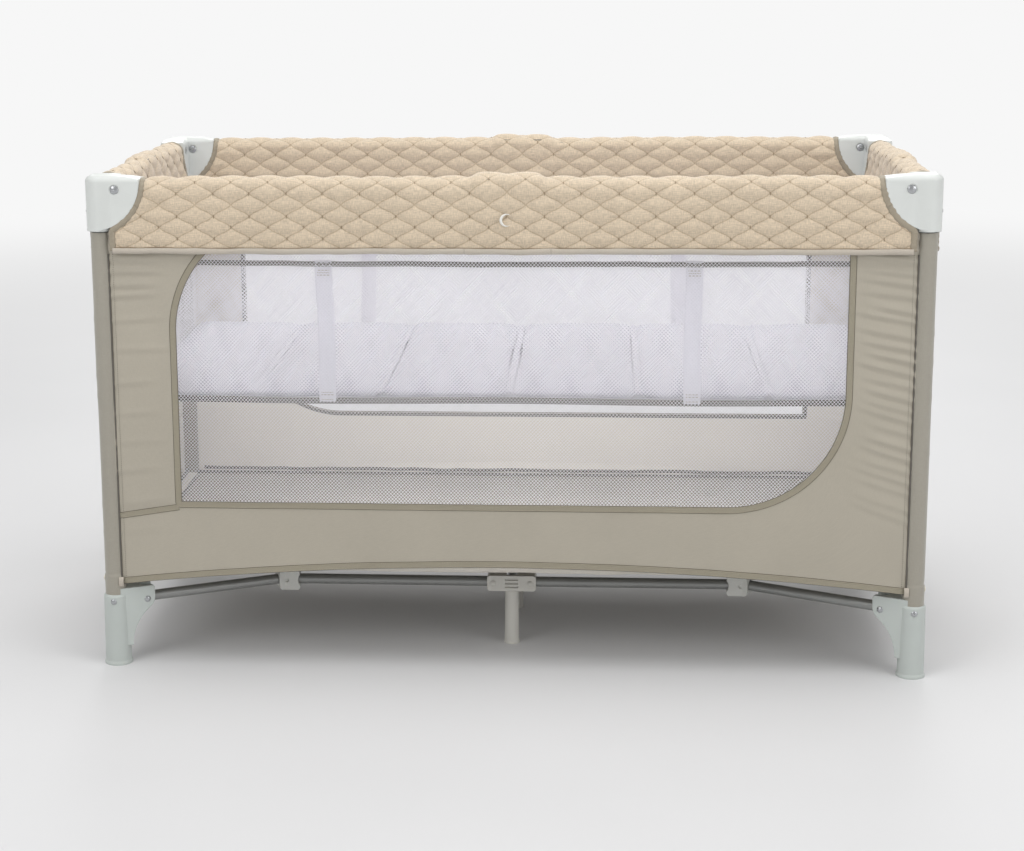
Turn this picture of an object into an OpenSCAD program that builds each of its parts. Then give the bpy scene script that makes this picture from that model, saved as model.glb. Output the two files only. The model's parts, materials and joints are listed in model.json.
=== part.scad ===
// Folding travel play yard: four posts, four centre-hinged top rails, a folding base with a
// hub and legs, fabric and mesh walls, a hanging insert and a padded mattress.
// Origin: floor level, centre of the footprint. X is the length, -Y the front, +Z up.
// Every rail, arm and link turns by the same angle when the yard folds, because the base
// links are sized from the rails (see "Folding linkage").

/* [Overall size] */
// Length over the corner caps
yard_l = 1250; // [1200:10:1300]
// Width over the corner caps
yard_w = 650; // [630:5:680]
// Height of the top rail axis above the floor
rail_z = 736; // [720:1:750]
// Height of the base tube axis above the floor
base_z = 100; // [95:1:105]

/* [Tubes and pins] */
// Radius of the corner posts
post_r = 12; // [11:0.5:12]
// Radius of the top rail tubes
rail_r = 9.5; // [8:0.5:9.5]
// Radius of the base tubes
base_r = 8; // [7:0.5:8]
// Wall thickness of all tubes
tube_wall = 1.5; // [1:0.1:2]
// Radius of the pivot pins
pin_r = 3; // [2.5:0.1:3]
// Radial running clearance of a pin in its bore
fit = 0.05; // [0.02:0.01:0.1]

/* [Folding linkage] */
// Pivot of a long rail, inward from the post axis
cap_pivot_x = 27; // [26:0.5:28]
// Pivot of a short rail, inward from the post axis
cap_pivot_y = 42; // [40:0.5:44]
// Half the distance between the two pivots of a rail lock
lock_c = 62.5; // [60:0.5:65]
// Length of a base arm between its pivots
arm_l = 227; // [222:0.5:232]
// Plan angle of a base arm from the long side
arm_angle = 27; // [25:0.5:29]
// Distance of the arm pivot from the post axis
foot_reach = 45; // [43:0.5:46]
// Distance between the two pins of a knuckle
knuckle_c = 20; // [19:0.5:21]

/* [Corner caps and feet] */
// Half thickness of a cap wing, and the radius of its outer corner
cap_r = 20; // [19:0.5:22]
// Length of a cap wing from the post axis
cap_wing = 64; // [62:1:66]
// Height of a cap
cap_h = 82; // [78:1:86]
// Edge round along the top of a cap
cap_round = 9; // [6:1:10]
// Height of a foot column
foot_h = 112; // [110:1:116]
// Radius of a foot column at the floor
foot_r = 20; // [19:0.5:21]
// Reach of a foot wing from the post axis
foot_wing = 57; // [54:1:60]
// Radius of the legs under the brackets and the hub
leg_r = 10.5; // [9:0.5:12]

/* [Fabric] */
// Height of the quilted rail covers
cover_h = 109; // [100:1:115]
// Corner radius of the mesh windows
window_r = 175; // [120:5:180]
// Width of a mesh window in a long side
window_l = 1000; // [960:10:1020]
// Width of a mesh window in a short side
window_w = 430; // [400:10:450]
// Height of the lower edge of the windows
window_z = 256; // [240:1:280]
// Height of the lower hem at the posts
hem_z = 130; // [128:1:140]
// Rise of the long hem towards its middle
hem_rise = 34; // [20:1:40]
// Height of the floor cloth
floor_z = 146; // [140:1:160]

/* [Insert and mattress] */
// Height of the top of the mattress
mattress_top = 434; // [400:1:450]
// Thickness of the mattress
mattress_t = 19; // [15:1:30]
// Length of the mattress
mattress_l = 1164; // [1120:2:1166]
// Width of the mattress
mattress_w = 562; // [540:2:564]
// Number of mattress panels along the length
mattress_panels = 6; // [4:1:8]
// Position of the insert straps from the middle
strap_x = 272; // [220:2:300]

/* [Hidden] */
$fn = 48;
cap_top = rail_z + 20;
post_x = yard_l / 2 - cap_r;
post_y = yard_w / 2 - cap_r;
post_bottom = 26;
post_top = rail_z - 16;
// The disc whose lower quarter forms a cap wing
wing_disc_r = cap_wing + 11;
wing_disc_x = -11;
wing_disc_z = cap_top - 7;
screw_z = rail_z - 33;
screw_r = 2.5;
foot_screw_z = base_z + 2;
foot_wing_half = 16;

// Rails: cap pivot to lock pivot
long_link = post_x - cap_pivot_x - lock_c;
short_link = post_y - cap_pivot_y - lock_c;
// Base: foot pivot, knuckle, bracket and hub follow from the rails, so that all angles match
foot_dx = foot_reach * cos(arm_angle);
foot_dy = foot_reach * sin(arm_angle);
arm_dx = arm_l * cos(arm_angle);
arm_dy = arm_l * sin(arm_angle);
knuckle_x = post_x - foot_dx - arm_dx;
knuckle_y = post_y - foot_dy - arm_dy;
spine_link = long_link - arm_dx;
bracket_c = cap_pivot_x + lock_c - foot_dx - knuckle_c;
cross_link = short_link - arm_dy;
hub_c = cap_pivot_y + lock_c - foot_dy;

// Joint sockets are a little wider than the ball ends of the tubes
slack = 0.6;
socket_w = 0.4;
knuckle_half_h = 15.5;
knuckle_half_w = 12;
bracket_half_h = 12.5;
bracket_half_w = 13;
lock_half_w = 15.5;
button_l = 40;
button_w = 20.4;

sleeve_r = post_r + 3;
sheet_t = 3;
// A wall meets the outer side of the sleeves, a little in front of the post axes
sheet_out = 9;
sheet_y = post_y + sheet_out;
sheet_x = post_x + sheet_out;
cover_t = 2.4;
cover_top = rail_z + 15.5;
cover_bottom = cover_top - cover_h;
cover_gap = 3;
window_top = rail_z - 40;
insert_x = post_x - sleeve_r - 4;
insert_y = sheet_y - 5;
insert_z = mattress_top - mattress_t - 1;
zip_z = 618;
tape_h = 14;

// ---- Placing ----

// Everything with a corner is drawn for the front left one and mirrored to the others
module corner(right, rear) {
    mirror([right ? 1 : 0, 0, 0])
        mirror([0, rear ? 1 : 0, 0])
            children();
}

module at_post() {
    translate([-post_x, -post_y, 0])
        children();
}

// Along Y instead of X, for the short sides
module crosswise() {
    rotate([0, 0, 90])
        children();
}

module along_x(length, r) {
    rotate([0, 90, 0])
        cylinder(h = length, r = r);
}

module along_y(length, r) {
    rotate([90, 0, 0])
        cylinder(h = length, r = r, center = true);
}

// An outline in X and Z, given a thickness in Y
module slab(thickness) {
    rotate([90, 0, 0])
        linear_extrude(thickness, center = true)
            children();
}

module round_rect(x0, x1, z0, z1, r) {
    translate([x0 + r, z0])
        square([x1 - x0 - 2 * r, z1 - z0]);
    translate([x0, z0 + r])
        square([x1 - x0, z1 - z0 - 2 * r]);
    for (x = [x0 + r, x1 - r])
        for (z = [z0 + r, z1 - r])
            translate([x, z])
                circle(r);
}

// ---- Tubes, sockets and screws ----

// Half outline of a rod with ball ends, for turning about its axis
module rod_outline(length, r) {
    intersection() {
        union() {
            square([r, length]);
            circle(r);
            translate([0, length])
                circle(r);
        }
        translate([0, -r])
            square([r, length + 2 * r]);
    }
}

// Tube along +X from one pivot to the next, with ball ends and a bore along Y at each
module pivot_tube(length, r) {
    past_pin = pin_r + 0.5;
    difference() {
        rotate([0, 90, 0])
            rotate_extrude()
                rod_outline(length, r);
        translate([-past_pin, 0, 0])
            along_x(length + 2 * past_pin, r - tube_wall);
        for (x = [0, length])
            translate([x, 0, 0])
                along_y(4 * r, pin_r + fit);
    }
}

// Room for a tube of radius r that leaves along +X and turns up (turn = 1) or down (turn = -1)
module socket(r, turn) {
    reach = 60;
    sphere(r + slack);
    along_x(reach, r + slack);
    mirror([0, 0, turn < 0 ? 1 : 0]) {
        cylinder(h = reach, r = r + slack);
        translate([0, -r - socket_w, 0])
            cube([reach, 2 * (r + socket_w), reach]);
    }
}

module dome(r, h) {
    ball = (r * r + h * h) / (2 * h);
    intersection() {
        translate([0, 0, h - ball])
            sphere(ball);
        cylinder(h = h + 1, r = r);
    }
}

// Pin along Y with a domed head on each end
module pin_with_heads(half_length, r, head_r) {
    along_y(2 * half_length, r);
    for (turn = [90, -90])
        rotate([turn, 0, 0])
            translate([0, 0, half_length])
                dome(head_r, 2);
}

// Screw along -Z from its head's seat
module screw(length, r, head_r) {
    translate([0, 0, -length])
        cylinder(h = length, r = r);
    dome(head_r, 2);
}

// ---- Corner: post, cap, foot and their bolts ----

module post() {
    color("#8f9191")
        at_post()
            difference() {
                translate([0, 0, post_bottom])
                    cylinder(h = post_top - post_bottom, r = post_r);
                translate([0, 0, post_bottom - 1])
                    cylinder(h = post_top - post_bottom + 2, r = post_r - tube_wall);
                cap_screw_place()
                    translate([0, 0, -cap_r])
                        cylinder(h = 2 * cap_r, r = screw_r + fit);
                foot_screw_place()
                    translate([0, 0, -foot_r])
                        cylinder(h = 2 * foot_r, r = screw_r + fit);
            }
}

// Seat of the screw that holds the post in the cap, on the outer end
module cap_screw_place() {
    translate([-cap_r + 1, 0, screw_z])
        rotate([0, -90, 0])
            children();
}

// Seat of the screw that holds the post in the foot
module foot_screw_place() {
    translate([0, -foot_r + 1, foot_screw_z])
        rotate([90, 0, 0])
            children();
}

// Half section of a cap with a round shoulder
module cap_half_section() {
    h = cap_h - cap_round;
    square([cap_r, h]);
    square([cap_r - cap_round, cap_h]);
    translate([cap_r - cap_round, h])
        circle(cap_round);
}

// Side outline of a wing: a quarter disc under a gently arched top
module wing_outline() {
    arch_r = 300;
    intersection() {
        translate([wing_disc_x, wing_disc_z])
            circle(wing_disc_r);
        translate([-wing_disc_x, cap_top - arch_r])
            circle(arch_r, $fn = 360);
        translate([0, cap_top - cap_h])
            square([cap_wing, cap_h]);
    }
}

module cap_wing_solid() {
    intersection() {
        translate([0, 0, cap_top - cap_h])
            rotate([90, 0, 90])
                linear_extrude(cap_wing) {
                    cap_half_section();
                    mirror([1, 0])
                        cap_half_section();
                }
        slab(2 * cap_r)
            wing_outline();
    }
}

// Slot for a rail, open at the wing's tip and underside, with its pivot bore and head recesses
module cap_rail_cut(pivot) {
    translate([pivot, 0, rail_z]) {
        socket(rail_r, -1);
        along_y(3 * cap_r, pin_r + fit);
        for (side = [-1, 1])
            translate([0, side * cap_r, 0])
                along_y(2, 7.5);
    }
}

module cap() {
    color("#d7d9d5")
        at_post()
            difference() {
                union() {
                    translate([0, 0, cap_top - cap_h])
                        rotate_extrude()
                            cap_half_section();
                    cap_wing_solid();
                    crosswise()
                        cap_wing_solid();
                }
                translate([0, 0, cap_top - cap_h - 1])
                    cylinder(h = post_top - cap_top + cap_h + 1.5, r = post_r + fit);
                cap_rail_cut(cap_pivot_x);
                crosswise()
                    cap_rail_cut(cap_pivot_y);
                cap_screw_place() {
                    cylinder(h = 3, r = 5.5);
                    translate([0, 0, -cap_r / 2])
                        cylinder(h = cap_r, r = screw_r + fit);
                }
            }
}

// Side outline of the foot's wing: a plate over a round-and-hollow sweep down to the column
module foot_wing_outline() {
    top = foot_h + 9;
    plate_z = top - 18;
    sweep_z = top - 92;
    corner_r = 4;
    round_r = 20;
    // The hollow arc starts upright at the column and meets the round arc without a corner
    run = foot_wing - foot_r;
    drop = plate_z - sweep_z;
    hollow_r = (run * run + drop * drop) / (2 * run) - round_r;
    round_c = [foot_wing - round_r, plate_z];
    hollow_c = [foot_r + hollow_r, sweep_z];
    translate([0, plate_z])
        square([foot_wing, top - corner_r - plate_z]);
    translate([0, plate_z])
        square([foot_wing - corner_r, top - plate_z]);
    translate([foot_wing - corner_r, top - corner_r])
        circle(corner_r);
    difference() {
        union() {
            polygon([[0, plate_z], round_c, hollow_c, [0, sweep_z]]);
            intersection() {
                translate(round_c)
                    circle(round_r);
                translate([0, plate_z - round_r])
                    square([foot_wing, round_r + 1]);
            }
        }
        translate(hollow_c)
            circle(hollow_r, $fn = 96);
    }
}

module foot() {
    rim = 1.5;
    color("#bec4be")
        at_post()
            difference() {
                union() {
                    rotate_extrude()
                        polygon([
                            [0, 0],
                            [foot_r + rim, 0],
                            [foot_r + rim, 3],
                            [foot_r, 6],
                            [foot_r - 1, foot_h - 3],
                            [foot_r - 3, foot_h],
                            [0, foot_h]
                        ]);
                    rotate([0, 0, arm_angle])
                        slab(2 * foot_wing_half)
                            foot_wing_outline();
                }
                translate([0, 0, post_bottom - 0.5])
                    cylinder(h = foot_h, r = post_r + fit);
                rotate([0, 0, arm_angle])
                    translate([foot_reach, 0, base_z]) {
                        socket(base_r, 1);
                        along_y(40, pin_r + fit);
                    }
                foot_screw_place() {
                    cylinder(h = 3, r = 5.5);
                    translate([0, 0, -foot_r / 2])
                        cylinder(h = foot_r, r = screw_r + fit);
                }
            }
}

module corner_bolts() {
    color("#a9abab")
        at_post() {
            translate([cap_pivot_x, 0, rail_z])
                pin_with_heads(cap_r - 1, pin_r, 6.5);
            crosswise()
                translate([cap_pivot_y, 0, rail_z])
                    pin_with_heads(cap_r - 1, pin_r, 6.5);
            cap_screw_place()
                screw(8.5, screw_r, 4.8);
            foot_screw_place()
                screw(8.5, screw_r, 4.8);
            rotate([0, 0, arm_angle])
                translate([foot_reach, 0, base_z])
                    pin_with_heads(foot_wing_half, pin_r, 5);
            translate([-sleeve_r - 0.6, 0, hem_z + 6])
                rotate([0, -90, 0])
                    dome(6, 2.5);
        }
}

// ---- Top rails and their locks ----

module long_rail_half() {
    color("#8f9191")
        translate([-post_x + cap_pivot_x, -post_y, rail_z])
            pivot_tube(long_link, rail_r);
}

module short_rail_half() {
    color("#8f9191")
        translate([-post_x, -post_y + cap_pivot_y, rail_z])
            crosswise()
                pivot_tube(short_link, rail_r);
}

// Centre lock along X about its own middle: a block between two clevises, open upwards
module lock() {
    clevis = lock_c + 12;
    block = 38;
    color("#6f716d") {
        difference() {
            union() {
                slab(2 * lock_half_w)
                    round_rect(-clevis, clevis, -14, 10.5, 8);
                slab(2 * lock_half_w)
                    round_rect(-block, block, -16, 15, 7);
            }
            for (side = [0, 1])
                mirror([side, 0, 0])
                    translate([lock_c, 0, 0]) {
                        socket(rail_r, 1);
                        along_y(40, pin_r + fit);
                    }
            translate([-button_l / 2 - 0.6, -button_w / 2 - 0.6, -20])
                cube([button_l + 1.2, button_w + 1.2, 18]);
        }
        for (x = [-lock_c, lock_c])
            translate([x, 0, 0])
                along_y(2 * lock_half_w - 0.4, pin_r);
    }
}

// Squeeze button in the underside of a lock
module button() {
    color("#3f403e")
        slab(button_w)
            round_rect(-button_l / 2, button_l / 2, -22, -8, 3);
}

module long_lock_place() {
    translate([0, -post_y, rail_z])
        children();
}

module short_lock_place() {
    translate([-post_x, 0, rail_z])
        crosswise()
            children();
}

// ---- Base: arms, knuckles, spines, brackets, links and hub ----

module arm() {
    color("#8f9191")
        at_post()
            rotate([0, 0, arm_angle])
                translate([foot_reach, 0, base_z])
                    pivot_tube(arm_l, base_r);
}

// Joins an arm, which turns down from it, to a spine, which turns up
module knuckle() {
    notch_r = 14;
    color("#cfd0cc")
        translate([-knuckle_x, -knuckle_y, base_z]) {
            difference() {
                union() {
                    rotate([0, 0, arm_angle])
                        slab(2 * knuckle_half_w)
                            round_rect(-11, 8, -knuckle_half_h, knuckle_half_h, 6);
                    slab(2 * knuckle_half_w)
                        difference() {
                            round_rect(-4, knuckle_c + 7, -knuckle_half_h, knuckle_half_h, 4);
                            translate([knuckle_c + 18, 0])
                                circle(notch_r);
                        }
                }
                rotate([0, 0, arm_angle + 180])
                    socket(base_r, -1);
                translate([knuckle_c, 0, 0])
                    socket(base_r, 1);
                rotate([0, 0, arm_angle])
                    along_y(40, pin_r + fit);
                translate([knuckle_c, 0, 0])
                    along_y(40, pin_r + fit);
            }
            rotate([0, 0, arm_angle])
                along_y(2 * knuckle_half_w, pin_r);
            translate([knuckle_c, 0, 0])
                along_y(2 * knuckle_half_w, pin_r);
        }
}

module spine() {
    color("#8f9191")
        translate([-knuckle_x + knuckle_c, -knuckle_y, base_z])
            pivot_tube(spine_link, base_r);
}

module leg() {
    top = base_z - bracket_half_h + 1;
    rotate_extrude()
        polygon([
            [0, 0],
            [leg_r + 2, 0],
            [leg_r + 2, 3],
            [leg_r + 1, 5],
            [leg_r, top],
            [0, top]
        ]);
}

// Joins two spines, which turn down from it, to a cross link, which turns up
module bracket() {
    half_l = bracket_c + 9;
    color("#aaa89e")
        translate([0, -knuckle_y, 0]) {
            difference() {
                translate([0, 0, base_z])
                    slab(2 * bracket_half_w)
                        round_rect(-half_l, half_l, -bracket_half_h, bracket_half_h, 5);
                for (side = [0, 1])
                    mirror([side, 0, 0])
                        translate([bracket_c, 0, base_z]) {
                            socket(base_r, -1);
                            along_y(40, pin_r + fit);
                        }
                crosswise()
                    translate([0, 0, base_z]) {
                        socket(base_r, 1);
                        along_y(24, pin_r + fit);
                    }
                for (z = [-6, 0, 6])
                    translate([-10, -bracket_half_w - 1, base_z + z - 1.2])
                        cube([20, 3.5, 2.4]);
            }
            leg();
        }
    color("#8f9191")
        translate([0, -knuckle_y, base_z]) {
            for (x = [-bracket_c, bracket_c])
                translate([x, 0, 0])
                    pin_with_heads(bracket_half_w, pin_r, 5);
            crosswise()
                along_y(23, pin_r);
        }
}

module link() {
    color("#8f9191")
        translate([0, -knuckle_y, base_z])
            crosswise()
                pivot_tube(cross_link, base_r);
}

// Centre hub: both links turn down from it
module hub() {
    half_l = hub_c + 11;
    color("#aaa89e") {
        difference() {
            union() {
                crosswise()
                    translate([0, 0, base_z])
                        slab(2 * bracket_half_w)
                            round_rect(-half_l, half_l, -bracket_half_h, bracket_half_h, 5);
                translate([0, 0, base_z - bracket_half_h])
                    cylinder(h = 2 * bracket_half_h + 3, r = 24);
            }
            for (side = [0, 1])
                mirror([0, side, 0])
                    crosswise()
                        translate([hub_c, 0, base_z]) {
                            socket(base_r, -1);
                            along_y(40, pin_r + fit);
                        }
        }
        leg();
    }
    color("#8f9191")
        for (side = [-1, 1])
            translate([0, side * hub_c, base_z])
                crosswise()
                    along_y(2 * bracket_half_w, pin_r);
}

// ---- Quilted rail covers ----

// The part of a cover's outline that a cap wing hides, for a post at distance post from the middle
module cap_shadow(post) {
    for (side = [0, 1])
        mirror([side, 0])
            translate([-post + wing_disc_x, wing_disc_z])
                circle(wing_disc_r + cover_gap);
}

// Cover along X about its own middle, open downwards, for a rail between posts at +-post
module rail_cover(post) {
    roll = post - cap_wing - cover_gap;
    flap = post - sleeve_r - 6;
    half_w = cap_r;
    hump = 46;
    hump_rise = 6;
    color("#decba9")
        difference() {
            union() {
                slab(2 * half_w)
                    round_rect(-roll, roll, cover_bottom, cover_top, 2);
                slab(2 * half_w)
                    difference() {
                        round_rect(-flap, flap, cover_bottom, cover_top - 40, 2);
                        cap_shadow(post);
                    }
                slab(2 * half_w)
                    round_rect(-hump, hump, cover_bottom, cover_top + hump_rise, 9);
            }
            translate([-post, -half_w + cover_t, cover_bottom - 1])
                cube([2 * post, 2 * (half_w - cover_t), cover_h + 1 - cover_t]);
            translate([-hump + 4, -half_w + cover_t, cover_bottom])
                cube([2 * (hump - 4), 2 * (half_w - cover_t), cover_h + hump_rise - cover_t]);
        }
}

module long_cover() {
    translate([0, -post_y, 0])
        rail_cover(post_x);
}

module end_covers() {
    for (side = [-1, 1])
        translate([side * post_x, 0, 0])
            crosswise()
                rail_cover(post_y);
}

// ---- Walls, floor, insert and mattress ----

// Window outline: one lower corner is round, and the opposite upper one may be too
module window_outline(width, gap, round_top = true) {
    half = width / 2 - gap;
    z0 = window_z + gap;
    z1 = window_top - gap;
    r = min(window_r, width / 4);
    difference() {
        translate([-half, z0])
            square([2 * half, z1 - z0]);
        translate([half - r, z0 - 1])
            square([r + 1, r + 1]);
        if (round_top)
            translate([-half - 1, z1 - r])
                square([r + 1, r + 1]);
    }
    intersection() {
        translate([-half, z0])
            square([2 * half, z1 - z0]);
        for (s = [-1, 1])
            if (s > 0 || round_top)
                translate([s * (half - r), s > 0 ? z0 + r : z1 - r])
                    circle(r);
    }
}

// Wall outline for posts at +-post, with an arched hem and room for the caps
module wall_outline(width, half, post, rise, round_top = true) {
    top = cap_top - cap_h - 2;
    arch_r = (half * half + rise * rise) / (2 * rise);
    difference() {
        union() {
            translate([-half, hem_z])
                square([2 * half, top - hem_z]);
            translate([-post + cap_wing + cover_gap, hem_z])
                square([2 * (post - cap_wing - cover_gap), rail_z - 31 - hem_z]);
        }
        translate([0, hem_z + rise - arch_r])
            circle(arch_r, $fn = 1440);
        window_outline(width, 0, round_top);
    }
}

// Long wall, as it stands in front: cloth with a window, and a sleeve around each post
module long_wall(round_top) {
    sleeve_top = cap_top - cap_h - 2;
    color("#a8a08f") {
        translate([0, -sheet_y, 0])
            slab(sheet_t)
                wall_outline(window_l, post_x - 10.5, post_x, hem_rise, round_top);
        for (side = [0, 1])
            mirror([side, 0, 0])
                at_post()
                    translate([0, 0, hem_z])
                        difference() {
                            cylinder(h = sleeve_top - hem_z, r = sleeve_r);
                            translate([0, 0, -1])
                                cylinder(h = sleeve_top, r = post_r + 0.3);
                        }
    }
}

// Short wall for the left end, between the sleeves
module short_wall() {
    half = post_y - 13.6;
    color("#a8a08f")
        rotate([0, 0, -90])
            translate([0, -sheet_x, 0])
                slab(sheet_t)
                    wall_outline(window_w, half, post_y, hem_rise / 3);
}

module mesh_pane(width, round_top = true) {
    slab(1)
        window_outline(width, 0.6, round_top);
}

module mesh_windows() {
    color("#f2f2f0") {
        for (turn = [0, 180])
            rotate([0, 0, turn])
                translate([0, -sheet_y, 0])
                    mesh_pane(window_l, turn == 0);
        for (turn = [90, 270])
            rotate([0, 0, turn])
                translate([0, -sheet_x, 0])
                    mesh_pane(window_w);
    }
}

module floor_cloth() {
    color("#8d8674")
        translate([-insert_x, -post_y + sleeve_r + 4, floor_z])
            cube([2 * insert_x, 2 * (post_y - sleeve_r - 4), 3]);
}

// Sling with a zip tape around the top, hung by webbing straps
module insert() {
    tray_y = mattress_w / 2 + 3;
    tape_t = 3;
    strap_w = 26;
    rise = zip_z - insert_z;
    run = insert_y - tray_y;
    lean = atan2(run, rise);
    color("#e8e6e0") {
        translate([0, 0, zip_z])
            difference() {
                linear_extrude(tape_h)
                    square([2 * insert_x, 2 * insert_y], center = true);
                translate([0, 0, -1])
                    linear_extrude(tape_h + 2)
                        square([2 * (insert_x - tape_t), 2 * (insert_y - tape_t)], center = true);
            }
        translate([-insert_x, -tray_y, insert_z - 4])
            cube([2 * insert_x, 2 * tray_y, 4]);
        for (side = [0, 1])
            mirror([0, side, 0])
                for (x = [-strap_x, strap_x])
                    translate([x - strap_w / 2, -tray_y, insert_z - 2])
                        rotate([lean, 0, 0])
                            cube([strap_w, 2, sqrt(rise * rise + run * run) + 6]);
    }
}

// Padded boards side by side, joined by a thin cloth web at the seams
module mattress() {
    pitch = mattress_l / mattress_panels;
    seam = 3;
    web = 4;
    color("#e6e4eb")
        translate([-mattress_l / 2, 0, mattress_top - mattress_t]) {
            for (i = [0 : mattress_panels - 1])
                translate([i * pitch, 0, 0])
                    slab(mattress_w)
                        round_rect(seam / 2, pitch - seam / 2, 0, mattress_t, 5);
            translate([pitch / 2, -mattress_w / 2, 0])
                translate([0, 0, mattress_t / 2 - web / 2])
                    cube([mattress_l - pitch, mattress_w, web]);
        }
}

// ---- Nodes ----

corner(false, false) post();  // post_front_left
corner(true, false) post();  // post_front_right
corner(false, true) post();  // post_rear_left
corner(true, true) post();  // post_rear_right
corner(false, false) cap();  // cap_front_left
corner(true, false) cap();  // cap_front_right
corner(false, true) cap();  // cap_rear_left
corner(true, true) cap();  // cap_rear_right
corner(false, false) foot();  // foot_front_left
corner(true, false) foot();  // foot_front_right
corner(false, true) foot();  // foot_rear_left
corner(true, true) foot();  // foot_rear_right
corner(false, false) corner_bolts();  // bolts_front_left
corner(true, false) corner_bolts();  // bolts_front_right
corner(false, true) corner_bolts();  // bolts_rear_left
corner(true, true) corner_bolts();  // bolts_rear_right

corner(false, false) long_rail_half();  // rail_front_left
corner(true, false) long_rail_half();  // rail_front_right
corner(false, true) long_rail_half();  // rail_rear_left
corner(true, true) long_rail_half();  // rail_rear_right
corner(false, false) short_rail_half();  // rail_left_front
corner(false, true) short_rail_half();  // rail_left_rear
corner(true, false) short_rail_half();  // rail_right_front
corner(true, true) short_rail_half();  // rail_right_rear

corner(false, false) long_lock_place() lock();  // lock_front
corner(false, true) long_lock_place() lock();  // lock_rear
corner(false, false) short_lock_place() lock();  // lock_left
corner(true, false) short_lock_place() lock();  // lock_right
corner(false, false) long_lock_place() button();  // button_front
corner(false, true) long_lock_place() button();  // button_rear
corner(false, false) short_lock_place() button();  // button_left
corner(true, false) short_lock_place() button();  // button_right

corner(false, false) arm();  // arm_front_left
corner(true, false) arm();  // arm_front_right
corner(false, true) arm();  // arm_rear_left
corner(true, true) arm();  // arm_rear_right
corner(false, false) knuckle();  // knuckle_front_left
corner(true, false) knuckle();  // knuckle_front_right
corner(false, true) knuckle();  // knuckle_rear_left
corner(true, true) knuckle();  // knuckle_rear_right
corner(false, false) spine();  // spine_front_left
corner(true, false) spine();  // spine_front_right
corner(false, true) spine();  // spine_rear_left
corner(true, true) spine();  // spine_rear_right
corner(false, false) bracket();  // bracket_front
corner(false, true) bracket();  // bracket_rear
corner(false, false) link();  // link_front
corner(false, true) link();  // link_rear
hub();

corner(false, false) long_cover();  // cover_front
corner(false, true) long_cover();  // cover_rear
end_covers();  // covers_ends
long_wall(true);  // panel_front
rotate([0, 0, 180]) long_wall(false);  // panel_rear
short_wall();  // panel_left
rotate([0, 0, 180]) short_wall();  // panel_right
mesh_windows();
floor_cloth();
insert();
mattress();
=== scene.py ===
import json
import math

import bpy
import numpy as np
from mathutils import Matrix, Vector

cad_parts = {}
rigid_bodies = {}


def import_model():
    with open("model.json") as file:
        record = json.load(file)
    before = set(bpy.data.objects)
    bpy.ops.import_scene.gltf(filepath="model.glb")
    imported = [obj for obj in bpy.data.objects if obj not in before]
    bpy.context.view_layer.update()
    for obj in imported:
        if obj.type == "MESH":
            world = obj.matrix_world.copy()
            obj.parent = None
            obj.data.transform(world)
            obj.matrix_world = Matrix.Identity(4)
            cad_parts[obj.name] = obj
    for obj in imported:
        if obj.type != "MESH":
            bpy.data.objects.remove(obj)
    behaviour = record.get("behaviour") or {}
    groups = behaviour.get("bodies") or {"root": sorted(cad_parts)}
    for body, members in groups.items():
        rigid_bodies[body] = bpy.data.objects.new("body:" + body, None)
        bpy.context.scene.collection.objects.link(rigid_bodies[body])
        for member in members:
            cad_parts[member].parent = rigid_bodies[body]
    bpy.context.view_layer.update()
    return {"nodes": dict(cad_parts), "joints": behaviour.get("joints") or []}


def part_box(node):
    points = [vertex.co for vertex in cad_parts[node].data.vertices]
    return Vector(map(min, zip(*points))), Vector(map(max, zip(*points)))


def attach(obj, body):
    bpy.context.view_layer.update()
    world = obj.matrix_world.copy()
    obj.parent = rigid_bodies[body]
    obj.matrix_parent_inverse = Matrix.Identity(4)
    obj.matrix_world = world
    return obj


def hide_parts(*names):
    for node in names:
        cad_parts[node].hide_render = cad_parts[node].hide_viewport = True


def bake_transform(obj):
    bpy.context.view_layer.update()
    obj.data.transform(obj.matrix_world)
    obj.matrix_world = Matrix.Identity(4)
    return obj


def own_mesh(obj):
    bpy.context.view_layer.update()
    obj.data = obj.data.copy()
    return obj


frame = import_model()


# ---------------------------------------------------------------- small helpers

def box_mm(node):
    """(lowest, highest) corner of a CAD node in millimetres, as arrays."""
    low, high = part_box(node)
    return np.array(low) * 1000, np.array(high) * 1000


def smooth(t):
    t = np.clip(t, 0, 1)
    return t * t * (3 - 2 * t)


def wobble(x, y, scale, seed):
    """Smooth repeatable noise of about +-1 over a plane."""
    rng = np.random.default_rng(seed)
    total = 0
    for octave in range(3):
        for _ in range(4):
            turn, phase = rng.uniform(0, 2 * math.pi, 2)
            k = 2 * math.pi * 2 ** octave / scale * rng.uniform(0.8, 1.25)
            along = x * math.cos(turn) + y * math.sin(turn)
            total = total + np.sin(k * along + phase) / (4 * 1.6 ** octave)
    return total


def crease(s, z, start, end, width, height):
    """A soft ridge of a given height along a line, fading at both ends."""
    ds, dz = end[0] - start[0], end[1] - start[1]
    length = math.hypot(ds, dz)
    t = ((s - start[0]) * ds + (z - start[1]) * dz) / length ** 2
    across = ((s - start[0]) * dz - (z - start[1]) * ds) / length
    return height * np.exp(-(across / width) ** 2) * smooth(t * 4 + 0.5) * smooth((1 - t) * 2)


def centre_mm(node):
    low, high = box_mm(node)
    return (low + high) / 2


def unit(v):
    return v / np.maximum(np.linalg.norm(v, axis=-1, keepdims=True), 1e-12)


def tangents(path):
    return unit(np.gradient(path, axis=0))


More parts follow.
